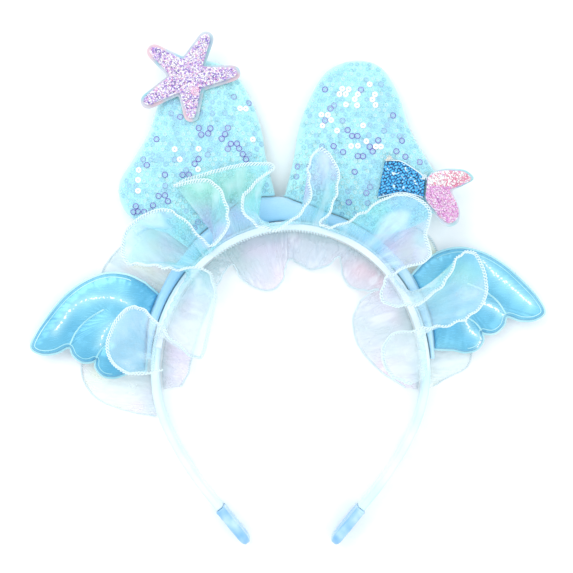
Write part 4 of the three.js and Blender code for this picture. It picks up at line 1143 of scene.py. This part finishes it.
def stuff_wing(label, side, at):
    """The quilted cushion and its piping. Puckers run in from the stitched edge and fade over the
    rounding, a few millimetres apart."""
    root = place(at, 0, 0)[:2]
    outward = place(at, 1, 0)[:2] - root

    def spot(shares):
        sideways, upwards = shares[..., 0] * WING_CHORD, shares[..., 1] * WING_LENGTH
        x = root[0] + outward[0] * upwards + outward[1] * sideways
        y = root[1] + outward[1] * upwards - outward[0] * sideways
        return np.stack([side * x, y], axis=-1)

    edge = curve_through(spot(WING_OUTLINE), np.linspace(0, 1, 400))
    along = side * (at + WING_CHORD * np.linspace(0.28, -0.4, 40))
    foot = place(along, CREST_FOOT + crest_height(along) + CLEARANCE, 0)[:, :2]
    outline = even_loop(np.concatenate([edge, foot]), 280)
    middle = spot(np.array([-0.15, 0.36]))
    lines = [curve_through(spot(line), np.linspace(0, 1, 24)) for line in WING_SEAMS]
    seams = join_lines(lines)
    glint_lines = join_lines([curve_through(spot(line), np.linspace(0, 1, 24)) for line in WING_GLINT_LINES[side]])
    reach = np.linspace(0, 1, 280, endpoint=False)
    pucker = np.sin(2 * np.pi * 41 * reach + 1.6 * np.sin(2 * np.pi * 7 * reach))
    pucker += 0.6 * np.sin(2 * np.pi * 67 * reach + 1.1)

    def fullness(points):
        full = stuffed_half(points, outline, WING_ROUNDING, WING_RIM, seams)
        if points.ndim < 3:
            return full
        window = np.clip(4 * (full - WING_RIM) * (1.02 - full), 0, 1)
        ripple = 0.05 * np.sin(points[..., 0] * 0.55 + points[..., 1] * 0.3) * np.sin(points[..., 1] * 0.7)
        return full + 0.05 * pucker * window + ripple * (full - WING_RIM)

    middle_z = CREST_BACK + 2 + WING_THICKNESS / 2
    half = WING_THICKNESS / 2 - 0.25

    # painted highlight mark: full on each glint line, fading over about three millimetres
    def ridge_highlight(points):
        return (0.97 + 0.03 * side) * np.exp(-nearest_line(points, glint_lines[:, 0], glint_lines[:, 1]) / 3.2)

    def on_front(line):
        full = stuffed_half(line, outline, WING_ROUNDING, WING_RIM, seams)
        return np.column_stack([line, middle_z + half * full])

    pad = stuff_cushion("wing_pad_" + label, outline, middle, middle_z, half, fullness, WING_SATIN,
                        extra=("ridge", ridge_highlight))
    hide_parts("wing_" + label)
    line = np.column_stack([outline, np.full(len(outline), middle_z)])
    lay_cord("wing_piping_" + label, line, PIPING_RADIUS, 10, PIPING_SATIN, closed=True)
    ahead = unit(np.roll(outline, -1, axis=0) - np.roll(outline, 1, axis=0))
    inward = np.stack([-ahead[:, 1], ahead[:, 0]], axis=1)
    inward *= np.sign(((middle - outline) * inward).sum(1).mean())
    inset = soften_loop(outline + WELT_INSET * inward, 280, 0.9)
    rise = (inset * (side, 1) - root) @ outward / WING_LENGTH
    first = int(np.argmin(rise))
    inset, rise = np.roll(inset, -first, axis=0), np.roll(rise, -first)
    lay_cord("wing_welt_" + label, on_front(inset[rise > WELT_START]), WELT_RADIUS, 8, PIPING_SATIN)
    for number, sewn in enumerate(lines):
        lay_cord(f"wing_seam_{label}_{number + 1}", on_front(sewn[1:]), SEAM_CORD_RADIUS, 10, PIPING_SATIN)


stuff_wing("left", -1, WING_AT_LEFT)
stuff_wing("right", 1, WING_AT_RIGHT)

# Three ruffles of clear iridescent organza run along the band. Each is a strip gathered into small
# pleats where it is sewn, and its free edge is overlocked so tightly that it turns and waves. The
# front one stands towards the viewer, with a bold white edge.
# the sheet's thickness, and the strength of the organza's painted emitted light, which stands in for light
# passing through it
SHEET_THICKNESS, ORGANZA_GLOW = 0.16, 0.16
# each row is one turn of the hem: share of the seam where its cloth is sewn, share of the seam
# where the hem lies, and its distances outwards and up from the seam as shares of the width
FRONT_FOLDS = np.array([
    (-1, -0.99, -0.13, 0.26), (-0.97, -1, 0.32, 0.26), (-0.94, -0.93, 0.6, 0.16), (-0.91, -0.8, 0.53, 0.24),
    (-0.885, -0.745, 0.34, 0.45), (-0.86, -0.765, 0.03, 0.66), (-0.83, -0.84, -0.29, 0.6),
    (-0.79, -0.9, -0.6, 0.28), (-0.68, -0.66, -0.58, 0.2), (-0.59, -0.5, -0.42, 0.26),
    (-0.545, -0.45, -0.14, 0.5), (-0.52, -0.53, 0.1, 0.56), (-0.5, -0.59, 0.48, 0.36),
    (-0.48, -0.62, 0.74, 0.18), (-0.455, -0.545, 0.97, 0.13), (-0.43, -0.42, 0.8, 0.26),
    (-0.415, -0.385, 0.44, 0.38), (-0.4, -0.365, 0.06, 0.52), (-0.385, -0.28, 0.08, 0.66),
    (-0.37, -0.235, 0.38, 0.56), (-0.35, -0.255, 0.78, 0.34), (-0.325, -0.35, 0.96, 0.2),
    (-0.25, -0.23, 0.88, 0.15), (-0.2, -0.12, 0.83, 0.17), (-0.16, -0.055, 0.75, 0.26),
    (-0.115, -0.18, 0.34, 0.6), (-0.09, -0.15, 0.03, 0.72), (-0.045, -0.055, -0.08, 0.73),
    (0.015, 0.06, 0.22, 0.62),
    (0.055, 0.055, 0.8, 0.22), (0.08, 0.085, 1, 0.14), (0.115, 0.14, 0.78, 0.26), (0.15, 0.155, 0.25, 0.62),
    (0.18, 0.13, 0, 0.73), (0.22, 0.2, 0.06, 0.66), (0.265, 0.275, 0.38, 0.46), (0.31, 0.33, 0.75, 0.22),
    (0.355, 0.385, 0.9, 0.18), (0.395, 0.445, 0.9, 0.18), (0.43, 0.49, 0.63, 0.34),
    (0.455, 0.555, 0.46, 0.52),
    (0.485, 0.535, 0.18, 0.68), (0.52, 0.515, -0.17, 0.68), (0.56, 0.6, -0.34, 0.62),
    (0.6, 0.68, -0.04, 0.64),
    (0.635, 0.665, 0.4, 0.5), (0.665, 0.61, 0.84, 0.24), (0.7, 0.635, 1.02, 0.14), (0.74, 0.74, 0.95, 0.18),
    (0.775, 0.79, 0.72, 0.34), (0.81, 0.81, 0.32, 0.54), (0.84, 0.79, -0.1, 0.66), (0.875, 0.79, -0.46, 0.5),
    (0.92, 0.9, -0.58, 0.3), (0.965, 1.02, -0.46, 0.16), (1, 1.06, -0.2, 0.08)])
INNER_FOLDS = np.array([
    (-1, -1, 0.3, 0.1), (-0.92, -0.93, 0.45, 0.55), (-0.8, -0.81, 0.5, 0.1), (-0.68, -0.68, 0.52, 0.55),
    (-0.56, -0.55, 0.48, 0.1), (-0.44, -0.42, 0.36, 0.6), (-0.35, -0.31, 0.26, 0.2),
    (-0.29, -0.305, 0.6, 0.1),
    (-0.23, -0.235, 0.86, 0.2), (-0.15, -0.14, 0.93, 0.45), (-0.07, -0.06, 0.82, 0.6),
    (-0.01, -0.01, 0.48, 0.4),
    (0.04, 0.04, 0.52, 0.1), (0.12, 0.125, 0.6, 0.1), (0.2, 0.22, 0.42, 0.45), (0.26, 0.25, 0.24, 0.6),
    (0.31, 0.3, 0.42, 0.2), (0.38, 0.38, 0.54, 0.1), (0.45, 0.465, 0.4, 0.4), (0.51, 0.5, 0.24, 0.6),
    (0.55, 0.485, 0.5, 0.3), (0.6, 0.54, 0.82, 0.1), (0.68, 0.66, 0.96, 0.3), (0.79, 0.79, 0.92, 0.5),
    (0.92, 0.93, 0.62, 0.2), (1, 1, 0.22, 0.1)])
BACK_FOLDS = np.array([
    (-1, -1, 0.04, 0), (-0.975, -0.95, 0.45, 0.1), (-0.94, -0.9, 0.78, 0.3), (-0.88, -0.84, 0.92, 0),
    (-0.8, -0.76, 0.84, 0.5), (-0.7, -0.68, 0.78, 0), (-0.62, -0.61, 0.86, 0.5), (-0.56, -0.57, 0.94, 0.1),
    (-0.51, -0.51, 0.9, 0.4), (-0.44, -0.44, 0.8, 0), (-0.32, -0.33, 0.6, 0), (-0.16, -0.17, 0.46, 0),
    (0, 0, 0.22, 0), (0.16, 0.15, 0.34, 0), (0.3, 0.29, 0.5, 0), (0.4, 0.43, 0.64, 0),
    (0.47, 0.475, 0.6, 0.3),
    (0.56, 0.56, 0.64, 0), (0.67, 0.66, 0.6, 0.5), (0.76, 0.76, 0.58, 0), (0.82, 0.82, 0.5, 0.3),
    (0.86, 0.86, 0.22, 0), (0.9, 0.89, 0.06, 0)])
FRONT_RUFFLE = {"folds": FRONT_FOLDS, "seam": 110, "width": 38, "lift": 38, "rise": 0.02, "bow": 4.5,
                "lean": 0.4, "side": 1, "start": 0, "floor": 12.8, "pleat": 0.5, "pleat_length": 7.5,
                "ripple": 0.5, "ripple_length": 11}
INNER_RUFFLE = {"folds": INNER_FOLDS, "seam": 120, "width": 30, "lift": 12, "rise": 0, "bow": 0,
                "lean": 0, "side": -1, "start": -2.8, "floor": 1.4, "pleat": 0.45, "pleat_length": 5.5,
                "ripple": 0.35, "ripple_length": 9}
BACK_RUFFLE = {"folds": BACK_FOLDS, "seam": 132, "width": 38, "lift": 2.4, "rise": 0, "bow": 0,
               "lean": 0, "side": 1, "start": 2.8, "floor": 0.75, "pleat": 0.2, "pleat_length": 5.5,
               "ripple": 0.25, "ripple_length": 8}


def hang_ruffle(ruffle, share, v):
    """The smooth sheet between seam and hem: a straight line from the sewn place to the hem's curve
    at the same share, bowed out and up between them by a half sine."""
    folds = ruffle["folds"]
    hem = curve_through(folds[:, 1:] * (ruffle["seam"], ruffle["width"], ruffle["lift"]), share)
    knots = np.column_stack([folds[:, 0] * ruffle["seam"], np.zeros((len(folds), 2))])
    sewn = curve_through(knots, share)[..., 0]
    bow = ruffle["bow"] * np.sin(np.pi * v)
    out = hem[..., 1] * v + ruffle["lean"] * bow
    up = hem[..., 2] * v + ruffle["rise"] * np.sin(np.pi / 2 * v) + (1 - ruffle["lean"]) * bow
    along = sewn + (hem[..., 0] - sewn) * v
    return place(along, ruffle["start"] + ruffle["side"] * out, ruffle["floor"] + up)


def measure_hem(ruffle):
    """The hem's length at many even shares of the fold table, and those shares."""
    dense = np.linspace(0, 1, 8000)
    return reach_along(hang_ruffle(ruffle, dense, 1.0)), dense


def pleat_ruffle(ruffle, reach, v):
    """The sheet with its pleats: it moves along its own normal by a sine that fades from seam to
    hem, where a shorter wave from the tight overlocking takes over. Also gives the normal and the
    direction in the cloth from seam to hem."""
    reach, v = np.broadcast_arrays(reach, v)

    def at(along, down):
        return hang_ruffle(ruffle, np.interp(along, *ruffle["measured"]), down)

    base, step, drop = at(reach, v), 0.6, 0.01
    across = at(reach + step, v) - at(reach - step, v)
    down = at(reach, np.minimum(v + drop, 1)) - at(reach, np.maximum(v - drop, 0))
    normal = np.cross(across, down)
    normal /= np.maximum(np.linalg.norm(normal, axis=-1, keepdims=True), 1e-9)
    down = down / np.maximum(np.linalg.norm(down, axis=-1, keepdims=True), 1e-9)
    drift = 2.2 * np.sin(2 * np.pi * reach / 61) + 1.3 * np.sin(2 * np.pi * reach / 23 + 1)
    pleat = np.sin(2 * np.pi * reach / ruffle["pleat_length"] + drift)
    pleat *= ruffle["pleat"] * np.clip(v / 0.08, 0, 1) * (1 - v) ** 0.6
    ripple = np.sin(2 * np.pi * reach / ruffle["ripple_length"] + 0.6 * drift) * ruffle["ripple"] * v ** 5
    return base + normal * (pleat + ripple)[..., None], normal, down


# where down the legs, in metres from the crown, the cloth turns out of the light
LEG_FADE = (-0.012, -0.05)


def make_organza(name, tones, pale, seam, fade, solid):
    """Clear organza with a rainbow film. Its tints drift over the cloth, and soft streaks run from
    seam to hem where the cloth lies double and shows paler and less clear. The gathers at the seam
    are denser and darker. Down the legs the film turns out of the light and looks nearly white.
    Its own colour is also painted on as a faint emitted light, standing in for light that passes
    through the cloth, and its plain weave makes a fine crossed bump."""
    finish, tree, shader = new_finish(name)
    cloth = add(tree, "ShaderNodeUVMap", uv_map="cloth").outputs["UV"]
    streaked = add(tree, "ShaderNodeMapping", {"Vector": cloth, "Scale": (38.0, 1.3, 1.0)}).outputs["Vector"]
    weave = add(tree, "ShaderNodeMapping", {"Vector": cloth, "Scale": (900.0, 60.0, 1.0)}).outputs["Vector"]
    streak, threads = noise(tree, streaked, 1.0), noise(tree, weave, 1.0)
    where = from_object(tree)
    down_leg = add(tree, "ShaderNodeSeparateXYZ", {"Vector": where}).outputs["Y"]
    from_seam = add(tree, "ShaderNodeSeparateXYZ", {"Vector": cloth}).outputs["Y"]
    film = film_colour(tree, where, 30.0, tones)
    colour = blend_colours(tree, spread(tree, down_leg, *LEG_FADE, 0.0, fade), film, pale)
    colour = blend_colours(tree, spread(tree, streak, 0.48, 0.7, 0.0, 0.7), colour, pale)
    colour = blend_colours(tree, spread(tree, from_seam, 0.0, 0.34, 0.5, 0.0), colour, seam)
    cover = combine(tree, spread(tree, streak, 0.35, 0.68, solid, solid + 0.2),
                    spread(tree, from_seam, 0.0, 0.3, 0.14, 0.0), "ADD")
    cover = combine(tree, cover, spread(tree, down_leg, *LEG_FADE, 1.0, 1 - 0.4 * fade), "MULTIPLY")
    tree.links.new(cover, shader.inputs["Alpha"])
    # painted emitted light in the cloth's own colour
    tree.links.new(colour, shader.inputs["Emission Color"])
    feed(tree, shader, colour, spread(tree, threads, 0.3, 0.7, 0.2, 0.4),
         (combine(tree, threads, streak, "ADD"), 0.2, 0.0003),
         {"Emission Strength": ORGANZA_GLOW, "Sheen Weight": 0.4, "Sheen Roughness": 0.3})
    return finish


FRONT_ORGANZA = make_organza("front_organza", ("#8ee4e8", "#9cd6f2", "#cfd2f4", "#a8e8de"), "#e9f7fa",
                             "#bfe4f2", 0.8, 0.23)
INNER_ORGANZA = make_organza("inner_organza", ("#b6ced4", "#cbd6e4", "#e8cbd8", "#dccfe8"), "#f1f1f6",
                             "#b4cccd", 0.2, 0.28)
BACK_ORGANZA = make_organza("back_organza", ("#cbdfe8", "#dfedee", "#e2cfe6", "#e2ebd0"), "#f3f9fa",
                            "#e0ecf2", 0.3, 0.3)


def gather_ruffle(name, node, ruffle, columns, rows, finish):
    """The pleated sheet, given its thickness."""
    length = ruffle["measured"][0][-1]
    points, _, _ = pleat_ruffle(ruffle, np.linspace(0, length, columns)[:, None], np.linspace(0, 1, rows))
    sheet = lay_surface(name, points, finish)
    wall = sheet.modifiers.new("organza", "SOLIDIFY")
    wall.thickness = SHEET_THICKNESS / 1000
    wall.offset = 0
    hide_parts(node)
    return sheet


def overlock_hem(name, ruffle, width, radius, pitch, finish):
    """The overlocked edge: two threads twisted round each other along the hem, as a loose rope with
    an eye between each two crossings. Each is a screw line, wider in the cloth than across it, and
    the two are half a turn apart."""
    length = ruffle["measured"][0][-1]
    reach = np.linspace(0, length, int(length / pitch * 8))
    path, normal, down = pleat_ruffle(ruffle, reach, 1.0)
    strands = []
    for number, start in enumerate((0.0, np.pi)):
        turn = 2 * np.pi * reach / pitch + 0.4 * np.sin(reach / 3.1) + start
        line = path + (width * np.sin(turn))[:, None] * down + (0.5 * width * np.cos(turn))[:, None] * normal
        ahead = unit(np.gradient(line, axis=0))
        first = unit(np.cross(ahead, normal))
        strand = carry_ring(f"{name}_thread_{number + 1}", line, first, np.cross(ahead, first), radius, 6,
                            finish)
        strands.append(strand)
    return strands


# each ruffle's name, folds, grid and finish, and its hem's half width, thread, pitch and finish
for label, ruffle, columns, rows, cloth, width, radius, pitch, thread in (
        ("front", FRONT_RUFFLE, 1100, 24, FRONT_ORGANZA, 0.78, 0.34, 3.0, WHITE_THREAD),
        ("inner", INNER_RUFFLE, 620, 18, INNER_ORGANZA, 0.45, 0.26, 2.2, PALE_THREAD),
        ("back", BACK_RUFFLE, 620, 18, BACK_ORGANZA, 0.4, 0.22, 2.2, PALE_THREAD)):
    ruffle["measured"] = measure_hem(ruffle)
    hem = overlock_hem(label + "_hem", ruffle, width, radius, pitch, thread)
    gather_ruffle("organza_" + label, "ruffle_" + label, ruffle, columns, rows, cloth)

# A pale satin tape covers the ruffles' seam along the band's front edge, and its inner edge is
# overlocked with short slanted stitches over the crown.
TAPE_IN, TAPE_OUT, TAPE_Z, TAPE_HALF = -2.6, 0.5, 13.15, 0.18
STITCH_LENGTH, STITCH_RADIUS, STITCH_STEP = 1.9, 0.3, 1.55


def bind_seam():
    """A flat strip, slightly crowned, that follows the band over its crown and shoulders."""
    along = np.linspace(-98, 92, 300)[:, None]
    turn = np.linspace(0, 2 * np.pi, 20, endpoint=False)
    middle, half = (TAPE_IN + TAPE_OUT) / 2, (TAPE_OUT - TAPE_IN) / 2
    out = middle + half * np.sign(np.cos(turn)) * np.abs(np.cos(turn)) ** 0.5
    up = TAPE_Z + TAPE_HALF * np.sin(turn) + 0.12 * (1 - ((out - middle) / half) ** 2)
    up = up + 0.06 * lift_folds(along, 8, 4, 9, 3)
    finish = satin("tape_satin", "#dfeaf6", "#e8f4fb", "#f4fbfe", 9000, 0.3)
    tape = lay_surface("seam_tape", place(along, out, up), finish, across=True, poles=True)
    return tape


def stitch_tape():
    """Short round-ended stitches, each slanted across the tape's inner edge."""
    along = np.arange(-42, 20, STITCH_STEP)
    origins = place(along, TAPE_IN - 0.15, TAPE_Z + 0.12)
    inward = place(along, TAPE_IN - 1.15, TAPE_Z) - place(along, TAPE_IN - 0.15, TAPE_Z)
    first = inward * 0.94 + np.cross(UPWARDS, inward) * 0.34
    up = np.broadcast_to(UPWARDS, first.shape)
    axes = np.stack([first, np.cross(up, first), up], axis=1)
    shape = stitch_shape(STITCH_LENGTH, STITCH_RADIUS)
    return lay_copies("tape_stitches", *shape, origins, axes, WHITE_THREAD)


bind_seam()
stitch_tape()
